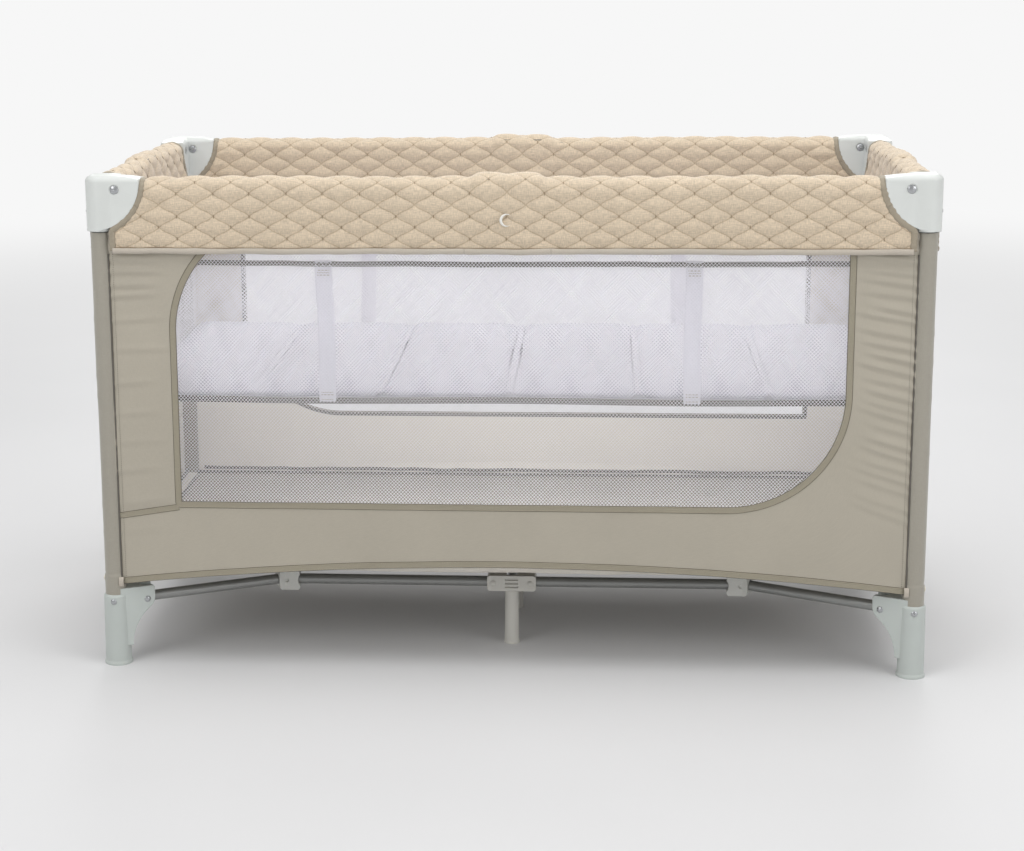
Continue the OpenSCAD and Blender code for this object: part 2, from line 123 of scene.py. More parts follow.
POST_X, POST_Y = abs(centre_mm("post_front_right")[:2])
RAIL_Z = centre_mm("rail_left_front")[2]
CAP_LOW, CAP_HIGH = box_mm("cap_front_left")
WALL_LOW, WALL_HIGH = box_mm("panel_front")
COVER_LOW_Z = box_mm("cover_front")[0][2]
NET_LOW_Z = box_mm("mesh_windows")[0][2]
FLOOR_HIGH = box_mm("floor_cloth")[1]
INSERT_HIGH = box_mm("insert")[1]
PAD_LOW, PAD_HIGH = box_mm("mattress")
HEM_Z = WALL_LOW[2]


class Side:
    """One side of the yard. Its own axes are s along it, v outward and z up, seen from outside."""

    def __init__(self, name, post, centre, along, out, first, lock, second, corner, window):
        self.name, self.post, self.centre = name, post, np.array([*centre, 0], float)
        self.along, self.out = np.array([*along, 0], float), np.array([*out, 0], float)
        self.first, self.lock, self.second, self.corner = first, lock, second, corner
        self.window = window
        self.long = post > 400
        self.round_top = name != "rear"

    def turn(self, n):
        """A direction in the side's own axes, as a direction in the frame."""
        n = np.asarray(n, float)
        return n[..., :1] * self.along + n[..., 1:2] * self.out + n[..., 2:] * (0, 0, 1)

    def world(self, p):
        return self.centre + self.turn(p)

    def place(self, s, v, z):
        """Points from separate s, v and z, each an array or one number."""
        return self.world(np.stack(np.broadcast_arrays(s, v, z), -1))


SIDES = [
    Side("front", POST_X, (0, -POST_Y), (1, 0), (0, -1),
         "rail_front_left", "lock_front", "rail_front_right", "corner_front_left", 1000),
    Side("rear", POST_X, (0, POST_Y), (-1, 0), (0, 1),
         "rail_rear_right", "lock_rear", "rail_rear_left", "corner_rear_left", 1000),
    Side("left", POST_Y, (-POST_X, 0), (0, -1), (-1, 0),
         "rail_left_rear", "lock_left", "rail_left_front", "corner_front_left", 430),
    Side("right", POST_Y, (POST_X, 0), (0, 1), (1, 0),
         "rail_right_front", "lock_right", "rail_right_rear", "corner_front_right", 430),
]


def cross_unit(a, b):
    return unit(np.cross(a, b))


def grid_normals(p, close_i=False, close_j=False):
    def slope(axis, closed):
        if closed:
            return np.roll(p, -1, axis) - np.roll(p, 1, axis)
        return np.gradient(p, axis=axis)
    return cross_unit(slope(0, close_i), slope(1, close_j))


def lengths(p, axis):
    step = np.linalg.norm(np.diff(p, axis=axis), axis=-1)
    pad = np.zeros_like(np.take(step, [0], axis=axis))
    return np.cumsum(np.concatenate([pad, step], axis=axis), axis=axis)


class Piece:
    """Collects grids of quads in millimetres into one object."""

    def __init__(self):
        self.verts, self.norms, self.uvs, self.faces, self.mats = [], [], [], [], []
        self.count = 0
        self.own_normals = False

    def add(self, verts, faces, mat=0, norms=None, uv=None):
        verts = np.asarray(verts, float).reshape(-1, 3)
        self.verts.append(verts)
        self.norms.append(np.zeros_like(verts) if norms is None else np.asarray(norms).reshape(-1, 3))
        self.own_normals = self.own_normals or norms is not None
        self.uvs.append(np.zeros((len(verts), 2)) if uv is None else np.asarray(uv).reshape(-1, 2))
        for k, f in enumerate(faces):
            f = np.asarray(f)
            if len(f):
                self.faces.append(f + self.count)
                self.mats.append(np.full(len(f), mat[k] if isinstance(mat, list) else mat))
        self.count += len(verts)

    @staticmethod
    def quads(m, n, close_i=False, close_j=False, flip=False):
        i = np.arange(m if close_i else m - 1)[:, None]
        j = np.arange(n if close_j else n - 1)[None, :]
        i2, j2 = (i + 1) % m, (j + 1) % n
        corners = np.broadcast_arrays(i * n + j, i2 * n + j, i2 * n + j2, i * n + j2)
        q = np.stack(corners, -1).reshape(-1, 4)
        return q[:, ::-1] if flip else q

    @staticmethod
    def rim(line, below, flip, closed=False):
        """Quads from a row of vertices to the same row of the layer below."""
        nxt = np.roll(line, -1)
        a, b = (line, nxt) if closed else (line[:-1], nxt[:-1])
        q = np.stack([a, b, b + below, a + below], -1)
        return q[:, ::-1] if flip else q

    def sheet(self, p, thick, outward=None, mat=0, close_i=False, close_j=False, norms=None,
              inner_mat=None, uv=None):
        """A closed solid sheet. outward is a rough direction of its outer side, norms its exact normals."""
        p = np.asarray(p, float)
        m, n = p.shape[:2]
        normal = grid_normals(p, close_i, close_j) if norms is None else norms
        flip = bool((grid_normals(p, close_i, close_j) * (outward if norms is None else norms)).sum() < 0)
        if norms is None and flip:
            normal = -normal
        both = np.concatenate([p.reshape(-1, 3), (p - thick * normal).reshape(-1, 3)])
        uv = (np.stack([lengths(p, 1), lengths(p, 0)], -1) if uv is None else uv).reshape(-1, 2)
        outer = self.quads(m, n, close_i, close_j, flip)
        inner = self.quads(m, n, close_i, close_j, not flip) + m * n
        faces = [outer, inner]
        rims = []
        if not close_i:
            rims += [(np.arange(n), flip, close_j), ((m - 1) * n + np.arange(n), not flip, close_j)]
        if not close_j:
            rims += [(np.arange(m) * n, not flip, close_i), (np.arange(m) * n + n - 1, flip, close_i)]
        for line, turned, closed in rims:
            faces.append(self.rim(line, m * n, not turned, closed))
        split = None
        if norms is not None:
            split = np.concatenate([normal.reshape(-1, 3), -normal.reshape(-1, 3)])
        if inner_mat is not None:
            mat = [mat, inner_mat] + [mat] * (len(faces) - 2)
        self.add(both, faces, mat, split, np.concatenate([uv, uv]))

    def sweep(self, path, n, b, profile, mat=0, closed=False, scale=None):
        """Sweeps a closed profile of (along n, along b) points. scale is its size at each path point."""
        path, n, b = (np.asarray(x, float) for x in (path, n, b))
        profile = np.broadcast_to(profile, (len(path),) + np.shape(profile))
        if scale is not None:
            profile = profile * np.asarray(scale)[:, None, None]
        n, b = (np.broadcast_to(x, path.shape)[:, None, :] for x in (n, b))
        p = path[:, None, :] + profile[..., :1] * n + profile[..., 1:] * b
        m, r = p.shape[:2]
        x0, y0 = profile[0].T
        area = np.sum(x0 * np.roll(y0, -1) - np.roll(x0, -1) * y0)
        turned = np.dot(np.cross(n[0, 0], b[0, 0]), path[1] - path[0]) * area > 0
        uv = np.stack([np.repeat(lengths(path, 0)[:, None], r, 1),
                       np.repeat(np.linspace(0, 1, r)[None], m, 0) * 40], -1)
        faces = [self.quads(m, r, closed, True, not turned)]
        verts = p.reshape(-1, 3)
        uv = uv.reshape(-1, 2)
        if not closed:
            ends = np.stack([p[0].mean(0), p[-1].mean(0)])
            verts = np.concatenate([verts, ends])
            uv = np.concatenate([uv, uv[[0, -1]]])
            ring = np.arange(r)
            nxt = (ring + 1) % r
            first = np.stack([ring, nxt, np.full(r, m * r)], -1)
            last = np.stack([ring + (m - 1) * r, nxt + (m - 1) * r, np.full(r, m * r + 1)], -1)
            faces += [first if turned else first[:, ::-1], last[:, ::-1] if turned else last]
        self.add(verts, faces, mat, None, uv)

    def build(self, name, materials, slot, sharp=50):
        mesh = bpy.data.meshes.new(name)
        verts = np.concatenate(self.verts) * 0.001
        mesh.vertices.add(len(verts))
        mesh.vertices.foreach_set("co", verts.astype(np.float32).ravel())
        loops = np.concatenate([f.ravel() for f in self.faces])
        sizes = np.concatenate([np.full(len(f), f.shape[1]) for f in self.faces])
        mesh.loops.add(len(loops))
        mesh.loops.foreach_set("vertex_index", loops.astype(np.int32))
        mesh.polygons.add(len(sizes))
        mesh.polygons.foreach_set("loop_start", (np.cumsum(sizes) - sizes).astype(np.int32))
        mesh.polygons.foreach_set("material_index", np.concatenate(self.mats).astype(np.int32))
        uv = mesh.uv_layers.new(name="UVMap")
        uv.data.foreach_set("uv", (np.concatenate(self.uvs)[loops] * 0.001).astype(np.float32).ravel())
        mesh.update(calc_edges=True)
        mesh.validate()
        for material in materials:
            mesh.materials.append(material)
        mesh.polygons.foreach_set("use_smooth", np.ones(len(mesh.polygons), bool))
        if sharp:
            mesh.set_sharp_from_angle(angle=math.radians(sharp))
        if self.own_normals:
            mesh.normals_split_custom_set_from_vertices(np.concatenate(self.norms).astype(np.float32))
        obj = bpy.data.objects.new(name, mesh)
        bpy.context.scene.collection.objects.link(obj)
        return obj


def oval(rn, rb, count=12):
    t = np.arange(count) * 2 * math.pi / count
    return np.stack([rn * np.cos(t), rb * np.sin(t)], -1)


# ---------------------------------------------------------------- materials

def linear(r, g, b):
    def one(c):
        c /= 255
        return c / 12.92 if c <= 0.04045 else ((c + 0.055) / 1.055) ** 2.4
    return (one(r), one(g), one(b), 1)


class Shader:
    """A short way to build a node material."""

    def __init__(self, name):
        self.material = bpy.data.materials.new(name)
        self.material.use_nodes = True
        self.tree = self.material.node_tree
        self.tree.nodes.clear()
        self.output = self.tree.nodes.new("ShaderNodeOutputMaterial")

    def node(self, kind, inputs=None, **props):
        node = self.tree.nodes.new("ShaderNode" + kind)
        for key, value in props.items():
            setattr(node, key, value)
        for key, value in (inputs or {}).items():
            if isinstance(value, bpy.types.NodeSocket):
                self.tree.links.new(value, node.inputs[key])
            else:
                node.inputs[key].default_value = value
        return node

    def math(self, operation, *values):
        return self.node("Math", dict(enumerate(values)), operation=operation).outputs[0]

    def noise(self, vector, scale, detail=3.0, rough=0.55, stretch=None):
        if stretch is not None:
            vector = self.node("Mapping", {"Vector": vector, "Scale": stretch}).outputs[0]
        inputs = {"Vector": vector, "Scale": scale, "Detail": detail, "Roughness": rough}
        return self.node("TexNoise", inputs).outputs[0]

    def ramp(self, value, low, high, a, b):
        """Colour a below low, b above high."""
        node = self.node("ValToRGB", {"Fac": value})
        for element, position, colour in zip(node.color_ramp.elements, (low, high), (a, b)):
            element.position, element.color = position, colour
        return node.outputs[0]

    def bump(self, height, distance_mm, strength, **inputs):
        values = {"Height": height, "Distance": distance_mm * 0.001, "Strength": strength, **inputs}
        return self.node("Bump", values).outputs[0]

    def mix(self, share, a, b, blend="MIX"):
        return self.node("Mix", {0: share, 6: a, 7: b}, data_type="RGBA", blend_type=blend).outputs[2]

    def multiply(self, a, b, share=1.0):
        return self.mix(share, a, b, "MULTIPLY")

    def finish(self, **inputs):
        named = {key.replace("_", " "): value for key, value in inputs.items()}
        shader = self.node("BsdfPrincipled", named)
        self.tree.links.new(shader.outputs[0], self.output.inputs[0])
        return self.material

    def blend_in(self, share, other):
        """Mixes another shader into the finished one."""
        finished = self.output.inputs[0].links[0].from_socket
        both = self.node("MixShader", {0: share, 1: finished, 2: other}).outputs[0]
        self.tree.links.new(both, self.output.inputs[0])


def shade(colour, factor):
    return tuple(c * factor for c in colour[:3]) + (1,)


def seam_shade(m, u, v):
    """Dark along the quilting lines: the same diamonds as quilt_puff, drawn with nodes."""
    across, up = m.math("DIVIDE", u, DIAMOND_W * 0.001), m.math("DIVIDE", v, DIAMOND_H * 0.001)
    p, q = m.math("ADD", across, up), m.math("SUBTRACT", across, up)
    bent = [m.math("MULTIPLY_ADD", m.math("SINE", m.math("MULTIPLY", b, 2 * math.pi)), QUILT_BEND, a)
            for a, b in ((p, q), (q, p))]
    lines = [m.math("ABSOLUTE", m.math("SINE", m.math("MULTIPLY", x, math.pi))) for x in bent]
    return m.ramp(m.math("MINIMUM", *lines), 0.02, 0.14, (0.78, 0.745, 0.70, 1), (1, 1, 1, 1))


def cloth(name, colour, pitch=0.8, bump=0.12, fleck=0.10, blotch=0.05, rough=0.85, sheen=0.25,
          slub=(1, 1), glow=0.0, quilted=False):
    """Woven cloth: a plain weave of threads, flecked yarn and slow colour changes.

    pitch and bump are the weave's width and depth in millimetres, fleck and blotch the strength of the
    fine and the slow colour changes, slub the length of the flecks, and glow the light it lets through.
    """
    m = Shader(name)
    uv = m.node("TexCoord").outputs["UV"]
    place = m.node("TexCoord").outputs["Object"]
    parts = m.node("SeparateXYZ", {0: uv})
    turn = 2 * math.pi / (pitch * 0.001)
    warp = m.math("SINE", m.math("MULTIPLY", parts.outputs[0], turn))
    weft = m.math("SINE", m.math("MULTIPLY", parts.outputs[1], turn))
    weave = m.math("MULTIPLY_ADD", m.math("MULTIPLY", warp, weft), 0.5, 0.5)
    yarn_u = m.noise(uv, 500, 2.0, 0.6, (0.22 * slub[0], 1.6, 1))
    yarn_v = m.noise(uv, 500, 2.0, 0.6, (1.6, 0.22 * slub[1], 1))
    yarn = m.math("MULTIPLY", m.math("ADD", yarn_u, yarn_v), 0.5)
    tone = m.ramp(yarn, 0.36, 0.64, shade(colour, 1 - fleck), shade(colour, 1 + fleck))
    slow = m.noise(place, 9, 3.0, 0.5)
    soil = m.ramp(slow, 0.3, 0.7, (1 - blotch,) * 3 + (1,), (1, 1, 1, 1))
    tone = m.multiply(tone, soil)
    gap = m.ramp(weave, 0.0, 0.5, (0.86, 0.86, 0.86, 1), (1, 1, 1, 1))
    tone = m.multiply(tone, gap, 0.6)
    if quilted:
        tone = m.multiply(tone, seam_shade(m, parts.outputs[0], parts.outputs[1]))
    height = m.math("MULTIPLY_ADD", yarn, 0.8, weave)
    bumped = m.bump(height, bump, 0.6)
    rough_map = m.math("MULTIPLY_ADD", yarn, 0.2, rough - 0.1)
    material = m.finish(Base_Color=tone, Roughness=rough_map, Normal=bumped, Sheen_Weight=sheen,
                        Sheen_Roughness=0.5)
    if glow:
        m.blend_in(glow, m.node("BsdfTranslucent", {"Color": tone, "Normal": bumped}).outputs[0])
    return material


def plastic(name, colour, rough=0.42, edge=1.2, grain=0.02):
    """Moulded plastic: fine spark texture, softened edges, slightly uneven gloss and paler edges."""
    m = Shader(name)
    place = m.node("TexCoord").outputs["Object"]
    spark = m.noise(place, 2600, 2.0, 0.7)
    slow = m.noise(place, 22, 3.0, 0.6)
    soft = m.node("Bevel", {"Radius": edge * 0.001}, samples=6).outputs[0]
    bumped = m.bump(spark, grain, 0.7, Normal=soft)
    tone = m.ramp(slow, 0.25, 0.75, shade(colour, 0.965), shade(colour, 1.02))
    # Colour paler on the sharp outer edges, by the mesh's pointiness
    pale_edges = m.ramp(m.node("NewGeometry").outputs["Pointiness"], 0.52, 0.62, (0, 0, 0, 1), (1, 1, 1, 1))
    tone = m.mix(m.math("MULTIPLY", pale_edges, 0.35), tone, shade(colour, 1.12))
    rough_map = m.math("MULTIPLY_ADD", slow, 0.16, rough - 0.08)
    return m.finish(Base_Color=tone, Roughness=rough_map, Normal=bumped, IOR=1.47)


def metal(name, colour, metallic=0.75, rough=0.34, edge=0.5):
    """Painted or plated metal with a fine drawn grain, small specks and an uneven shine."""
    m = Shader(name)
    place = m.node("TexCoord").outputs["Object"]
    grain = m.noise(place, 900, 3.0, 0.6, (0.06, 1, 1))
    speck = m.noise(place, 1500, 2.0, 0.7)
    slow = m.noise(place, 14, 3.0, 0.55)
    soft = m.node("Bevel", {"Radius": edge * 0.001}, samples=4).outputs[0]
    height = m.math("MULTIPLY_ADD", speck, 0.6, grain)
    bumped = m.bump(height, 0.02, 0.6, Normal=soft)
    tone = m.ramp(slow, 0.25, 0.75, shade(colour, 0.9), shade(colour, 1.06))
    rough_map = m.math("MULTIPLY_ADD", grain, 0.18, rough - 0.06)
    return m.finish(Base_Color=tone, Roughness=rough_map, Normal=bumped, Metallic=metallic)


DIAMOND_W, DIAMOND_H, QUILT_BEND = 54.0, 33.2, 0.03  # the quilting's diamonds, and how far their sides bow
QUILT = cloth("quilted_cloth", linear(210, 193, 169), pitch=0.9, bump=0.16, fleck=0.2, slub=(0.8, 1.3),
              quilted=True)
QUILT_THREAD = cloth("quilt_thread", linear(140, 120, 94), pitch=0.5, bump=0.05, fleck=0.08, rough=0.7)
PIPING = cloth("cover_piping", linear(190, 181, 168), bump=0.1, fleck=0.06, rough=0.7)
RIB = cloth("ribbed_binding", linear(160, 150, 132), pitch=1.2, bump=0.2, fleck=0.08, rough=0.8)
WALL = cloth("wall_cloth", linear(185, 178, 163), pitch=0.6, bump=0.05, fleck=0.04, blotch=0.04,
             rough=0.5, sheen=0.2, glow=0.12)
SLEEVE = cloth("sleeve_cloth", linear(160, 155, 143), pitch=0.6, bump=0.05, fleck=0.04, rough=0.44)
TAPE = cloth("wall_binding", linear(156, 149, 131), pitch=0.9, fleck=0.07, rough=0.75)
TAPE_DARK = cloth("dark_tape", linear(98, 94, 87), pitch=0.9, fleck=0.08, rough=0.8)
ZIP = cloth("zip_tape", linear(132, 128, 122), fleck=0.08, rough=0.7)
STITCH = cloth("stitching", linear(98, 91, 76), pitch=0.5, bump=0.05, rough=0.8)
# Inner faces of the walls and the strip down to the floor: a paler copy of the wall cloth, as painted light
# for the light that shines through the walls
INNER_WALL_PAINTED_LIGHT = cloth("wall_lining", linear(234, 229, 220), pitch=0.6, bump=0.05, fleck=0.04, blotch=0.03,
               rough=0.7, glow=0.35)
NET = cloth("net_yarn", linear(251, 250, 255), pitch=0.4, bump=0.04, fleck=0.03, rough=0.7, sheen=0.1,
            glow=0.3)
WEBBING = cloth("white_webbing", linear(247, 246, 252), pitch=1.1, bump=0.2, fleck=0.04, rough=0.7, glow=0.25)
FLOOR = cloth("floor_cloth", linear(142, 136, 126), pitch=0.7, bump=0.07, fleck=0.06, rough=0.75)
PAD = cloth("mattress_cloth", linear(198, 195, 206), pitch=0.6, bump=0.05, fleck=0.03, rough=0.7, sheen=0.2)
EMBROIDERY = cloth("embroidery", linear(248, 246, 240), pitch=0.6, bump=0.2, fleck=0.04, rough=0.5)
CAP = plastic("cap_plastic", linear(210, 213, 210), rough=0.36, edge=2.0)
FOOT = plastic("foot_plastic", linear(188, 194, 190), edge=1.6)
KNUCKLE = plastic("knuckle_plastic", linear(206, 206, 201), rough=0.45)
HUB = plastic("hub_plastic", linear(205, 203, 196), rough=0.45, edge=1.4)
LOCK = plastic("lock_plastic", linear(112, 113, 109), rough=0.45, edge=1.5)
BUTTON = plastic("button_plastic", linear(60, 61, 60), rough=0.4, edge=1.0)
SNAP = plastic("snap_plastic", linear(226, 219, 200), rough=0.3, edge=0.5)
TUBE = metal("frame_tube", linear(150, 151, 149), metallic=0.55, rough=0.36)
STEEL = metal("bolt_steel", linear(180, 182, 184), metallic=0.95, rough=0.25)
HARD_PARTS = {"cap": CAP, "foot": FOOT, "bolts": STEEL, "lock": LOCK, "button": BUTTON, "knuckle": KNUCKLE,
              "bracket": HUB, "hub": HUB}
HARD_PARTS.update(dict.fromkeys(("post", "rail", "arm", "spine", "link"), TUBE))

for name, node in frame["nodes"].items():
    kind = name.split("_")[0]
    if kind in HARD_PARTS:
        node.data.materials.clear()
        node.data.materials.append(HARD_PARTS[kind])
    if kind == "bolts":
        # The snap dome on the outer side of each sleeve's hem is cream plastic
        node.data.materials.append(SNAP)
        place = node.matrix_world
        for face in node.data.polygons:
            centre = place @ face.center * 1000
            if abs(centre.x) > POST_X + 14 and HEM_Z - 2 < centre.z < HEM_Z + 16:
                face.material_index = 1


# ---------------------------------------------------------------- quilted rail covers

SEAM_Z = 712.0
HUMP_HALF = 40.0
LOCK_HALF = 62.5
COVER_HALF = 17.5
CAP_DISC_R = CAP_HIGH[0] + POST_X + 14
CAP_DISC_Z = CAP_HIGH[2] - 7


def cover_end(post, z):
    """Half length of a cover at height z: it follows the round underside of the cap wings."""
    below = CAP_DISC_Z - np.minimum(z, CAP_DISC_Z)
    disc = post + 11 - np.sqrt(np.maximum(CAP_DISC_R ** 2 - below ** 2, 0))
    flap = post - (WALL_HIGH[0] - POST_X) - 6
    softness = 2.5
    return flap - softness * np.log(np.exp((flap - disc) / softness) + 1)


def quilt_puff(s, a, seed):
    """Height of the padding between the stitched diamonds, 0 on the stitching and 1 at most."""
    p, q = s / DIAMOND_W + a / DIAMOND_H, s / DIAMOND_W - a / DIAMOND_H
    p, q = p + QUILT_BEND * np.sin(2 * np.pi * q), q + QUILT_BEND * np.sin(2 * np.pi * p)
    rng = np.random.default_rng(seed)
    table = rng.uniform(0.9, 1.07, 4096)
    cell = (np.floor(p).astype(int) * 73 + np.floor(q).astype(int) * 151) % 4096
    sides = np.abs(np.sin(np.pi * p)) * np.abs(np.sin(np.pi * q))
    return sides ** 0.55 * table[cell]


def build_cover(side, seed):
    """Builds a padded cover over one rail: two halves of its roll and three flaps.

    Its grid runs up the outer side, over the rail and down the inner side, with a the arc length there.
    """
    low = COVER_LOW_Z + 3.5
    straight = np.arange(low, RAIL_Z, 2.2)
    turn = np.linspace(0, math.pi, 24)
    sides = np.full(len(straight), COVER_HALF)
    v = np.concatenate([sides, COVER_HALF * np.cos(turn), -sides])
    z = np.concatenate([straight, RAIL_Z + 15 * np.sin(turn), straight[::-1]])
    a = np.concatenate([[0], np.cumsum(np.hypot(np.diff(v), np.diff(z)))]) + low
    # The sides bulge a little between hem and roll
    belly = np.sin(np.clip((z - low) / (RAIL_Z - low), 0, 1) * math.pi)
    v = v + np.sign(v) * belly * 1.2
    main = side.post - 75
    columns = np.arange(-main, main + 0.1, 2 * main / round(2 * main / 2.3))
    grow = np.linspace(0, 1, 15)[1:]
    ends = cover_end(side.post, z)[:, None]
    s = np.concatenate([-(main + (ends - main) * grow[::-1]),
                        np.broadcast_to(columns, (len(z), len(columns))),
                        main + (ends - main) * grow], axis=1)
    zz, vv, aa = (np.broadcast_to(x[:, None], s.shape).copy() for x in (z, v, a))
    over = smooth((zz - 715) / 35)
    hump = smooth((HUMP_HALF + 22 - np.abs(s)) / 20)
    zz += hump * over * 5
    vv *= 1 + 0.10 * hump
    # Slow unevenness, and gathers near the caps
    from_end = ends - np.abs(s)
    zz += wobble(s, aa * 0.3, 420, seed) * 0.9 * over
    vv += np.sign(vv) * wobble(s, aa, 300, seed + 1) * 0.8
    p = np.stack([s, vv, zz], -1)
    normal = grid_normals(p)
    if normal[5, 50, 1] < 0:
        normal = -normal
    edge = smooth(from_end / 12) * smooth((zz - low) / 8)
    hump_edge = 1 - 0.5 * np.exp(-((np.abs(s) - HUMP_HALF - 12) / 5) ** 2) * over
    puff = quilt_puff(s, aa, seed + 2) * 3.6 * edge * hump_edge
    ruffle = 0.7 * np.sin(aa / 5.2 + s / 40) + 0.5 * np.sin(aa / 3.1 - s / 25)
    gather = smooth(1 - from_end / 90) * ruffle * smooth(from_end / 30)
    p = p + normal * (puff + gather + wobble(s, aa, 30, seed + 3) * 0.12)[..., None]
    world = side.world(p)
    normal = grid_normals(world)
    if (normal[5, 50] * side.out).sum() < 0:
        normal = -normal

    rows = len(z)
    seam_a = int(np.argmin(np.abs(z[:rows // 2] - SEAM_Z)))
    seam_b = rows - 1 - seam_a
    centre = s.shape[1] // 2
    cut_a = int(np.argmin(np.abs(s[0] + LOCK_HALF)))
    cut_b = s.shape[1] - 1 - cut_a

    def part(i0, i1, j0, j1, piece):
        cut = np.s_[i0:i1 + 1, j0:j1 + 1]
        piece.sheet(world[cut], 1.6, norms=normal[cut], uv=np.stack([s[cut], aa[cut]], -1))

    def binding(piece, i0, i1, j):
        line, n = world[i0:i1 + 1, j], normal[i0:i1 + 1, j]
        ribs = 1 + 0.10 * np.sin(a[i0:i1 + 1] * 2 * math.pi / 3.0)
        piece.sweep(line, n, np.cross(n, tangents(line)), oval(2.6, 5.2), 2, scale=ribs)

    def hem(piece, row, j0, j1):
        line = world[row, j0:j1 + 1].copy()
        line[:, 2] = low - 0.5 + 0.7 * wobble(s[row, j0:j1 + 1], 0, 130, seed + 4)
        out = side.out if row == 0 else -side.out
        line += out * 0.8
        size = 1 + 0.07 * wobble(s[row, j0:j1 + 1], 7, 60, seed + 5)
        piece.sweep(line, out, (0, 0, 1), oval(3.4, 4.6, 14), 1, scale=size)
        piece.sweep(line + out * 0.9 + (0, 0, 4.6), out, (0, 0, 1), oval(0.7, 0.6, 6), 3)

    def stitches(piece, i0, i1, j0, j1):
        """Short thread marks where the quilting lines cross."""
        s0, s1 = s[(i0 + i1) // 2, j0], s[(i0 + i1) // 2, j1]
        a0, a1 = sorted((a[i0], a[i1]))
        half_w, half_h = DIAMOND_W / 2, DIAMOND_H / 2
        for row in range(math.ceil(a0 / half_h), math.floor(a1 / half_h) + 1):
            i = int(np.argmin(np.abs(a - row * half_h)))
            first, last = math.ceil((s0 / half_w - row) / 2), math.floor((s1 / half_w - row) / 2)
            for k in range(first, last + 1):
                j = int(np.argmin(np.abs(s[i] - (2 * k + row) * half_w)))
                if not (i0 + 1 < i < i1 - 1 and j0 + 3 < j < j1 - 3) or edge[i, j] < 0.9:
                    continue
                n, up = normal[i, j], unit(world[i + 1, j] - world[i - 1, j])
                steps = np.linspace(-1, 1, 5)[:, None]
                line = world[i, j] + up * steps * 3.0 + n * (1 - 0.5 * steps ** 2)
                piece.sweep(line, n, np.cross(n, up), oval(0.45, 0.55, 6), 3, scale=[0.3, 0.9, 1, 0.9, 0.3])

    materials = [QUILT, PIPING, RIB, QUILT_THREAD, EMBROIDERY]
    made = []
    last_col = s.shape[1] - 1
    halves = ((side.first, 0, centre, 0, -1), (side.second, centre, last_col, last_col, 1))
    joined = {frozenset((j["parent"], j["child"])) for j in frame["joints"]}
    for body, j0, j1, end_col, sign in halves:
        roll = Piece()
        part(seam_a, seam_b, j0, j1, roll)
        binding(roll, seam_a, seam_b, end_col)
        stitches(roll, seam_a, seam_b, j0, j1)
        obj = roll.build(f"cover_roll_{body}", materials, "quilted_cloth", sharp=None)
        if frozenset((body, side.lock)) in joined:
            start, end = (tuple(side.world((sign * x, 0, RAIL_Z)) * 0.001) for x in (88, 40))
            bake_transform(obj)
            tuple(start)
            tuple(end)
        else:
            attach(obj, body)
        made.append(obj)
    flaps = ((side.first, 0, cut_a), (side.lock, cut_a, cut_b), (side.second, cut_b, last_col))
    for body, j0, j1 in flaps:
        flap = Piece()
        for i0, i1, row in ((0, seam_a, 0), (seam_b, rows - 1, rows - 1)):
            part(i0, i1, j0, j1, flap)
            hem(flap, row, j0, j1)
            stitches(flap, i0, i1, j0, j1)
            if j0 == 0:
                binding(flap, i0, i1, 0)
            if j1 == last_col:
                binding(flap, i0, i1, last_col)
        if side.name == "front" and body == side.lock:
            middle = world[int(np.argmin(np.abs(z[:rows // 2] - 693))), int(np.argmin(np.abs(s[0])))]
            crescent(flap, middle, side)
        obj = flap.build(f"cover_flap_{body}", materials, "quilted_cloth", sharp=None)
        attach(obj, body)
        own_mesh(obj)
        made.append(obj)
    return made


def crescent(piece, centre, side):
    """A small embroidered moon in satin stitch, on the front of the cover."""
    n, right, up = side.out, side.along, np.array([0, 0, 1.0])
    for t in np.linspace(-1, 1, 41):
        angle = t * math.radians(128)
        width = 3.6 * math.cos(t * math.pi / 2) + 0.25
        radial = up * math.sin(angle) - right * math.cos(angle)
        reach = 9.5 - width / 2 + np.array([-1, -0.5, 0, 0.5, 1]) * width / 2
        line = centre + np.outer(reach, radial) + np.outer([3.2, 3.7, 3.9, 3.7, 3.2], n)
        piece.sweep(line, n, np.cross(n, radial), oval(0.4, 0.55, 6), 4)


covers = {side.name: build_cover(side, 11 + 10 * k) for k, side in enumerate(SIDES)}
for name, node in (("front", "cover_front"), ("rear", "cover_rear"), ("left", "covers_ends"),
                   ("right", "covers_ends")):
    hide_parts(node)


# ---------------------------------------------------------------- walls

WALL_V = 10.6  # how far the walls stand out from the middle of the posts
WINDOW_Z = NET_LOW_Z - 0.6
WINDOW_TOP = 672.0
ROUND_TOP = WINDOW_TOP + 24  # highest point of a round upper corner, if the top edge didn't cut it off


def resample(points, count):
    points = np.asarray(points, float)
    along = np.concatenate([[0], np.cumsum(np.hypot(*np.diff(points, axis=0).T))])
    at = np.linspace(0, along[-1], count)
    return np.stack([np.interp(at, along, points[:, k]) for k in (0, 1)], -1)


def corner_radius(side):
    return min(175.0, side.window / 4)


def window_loop(side, counts):
    """The window's outline in (s, z): left, bottom, right, top. One or two corners are round."""
    h, r = side.window / 2, corner_radius(side)
    z0, z1 = WINDOW_Z, WINDOW_TOP

    def arc(cx, cz, a0, a1):
        t = np.radians(np.linspace(a0, a1, 24))
        return list(zip(cx + r * np.cos(t), cz + r * np.sin(t)))
    left, top = [(-h, z1), (-h, z0)], [(h, z1), (-h, z1)]
    if side.round_top:
        left = arc(r - h, ROUND_TOP - r, 135, 180) + [(-h, z0)]
        crown = [q for q in arc(r - h, ROUND_TOP - r, 135, 90) if q[1] < z1]
        top = [(h, z1), (0.52 * r - h, z1)] + crown[::-1]
    bottom = [(-h, z0)] + arc(h - r, z0 + r, 270, 315)
    right = arc(h - r, z0 + r, 315, 360) + [(h, z1)]
    return [resample(run, n) for run, n in zip((left, bottom, right, top), counts)]


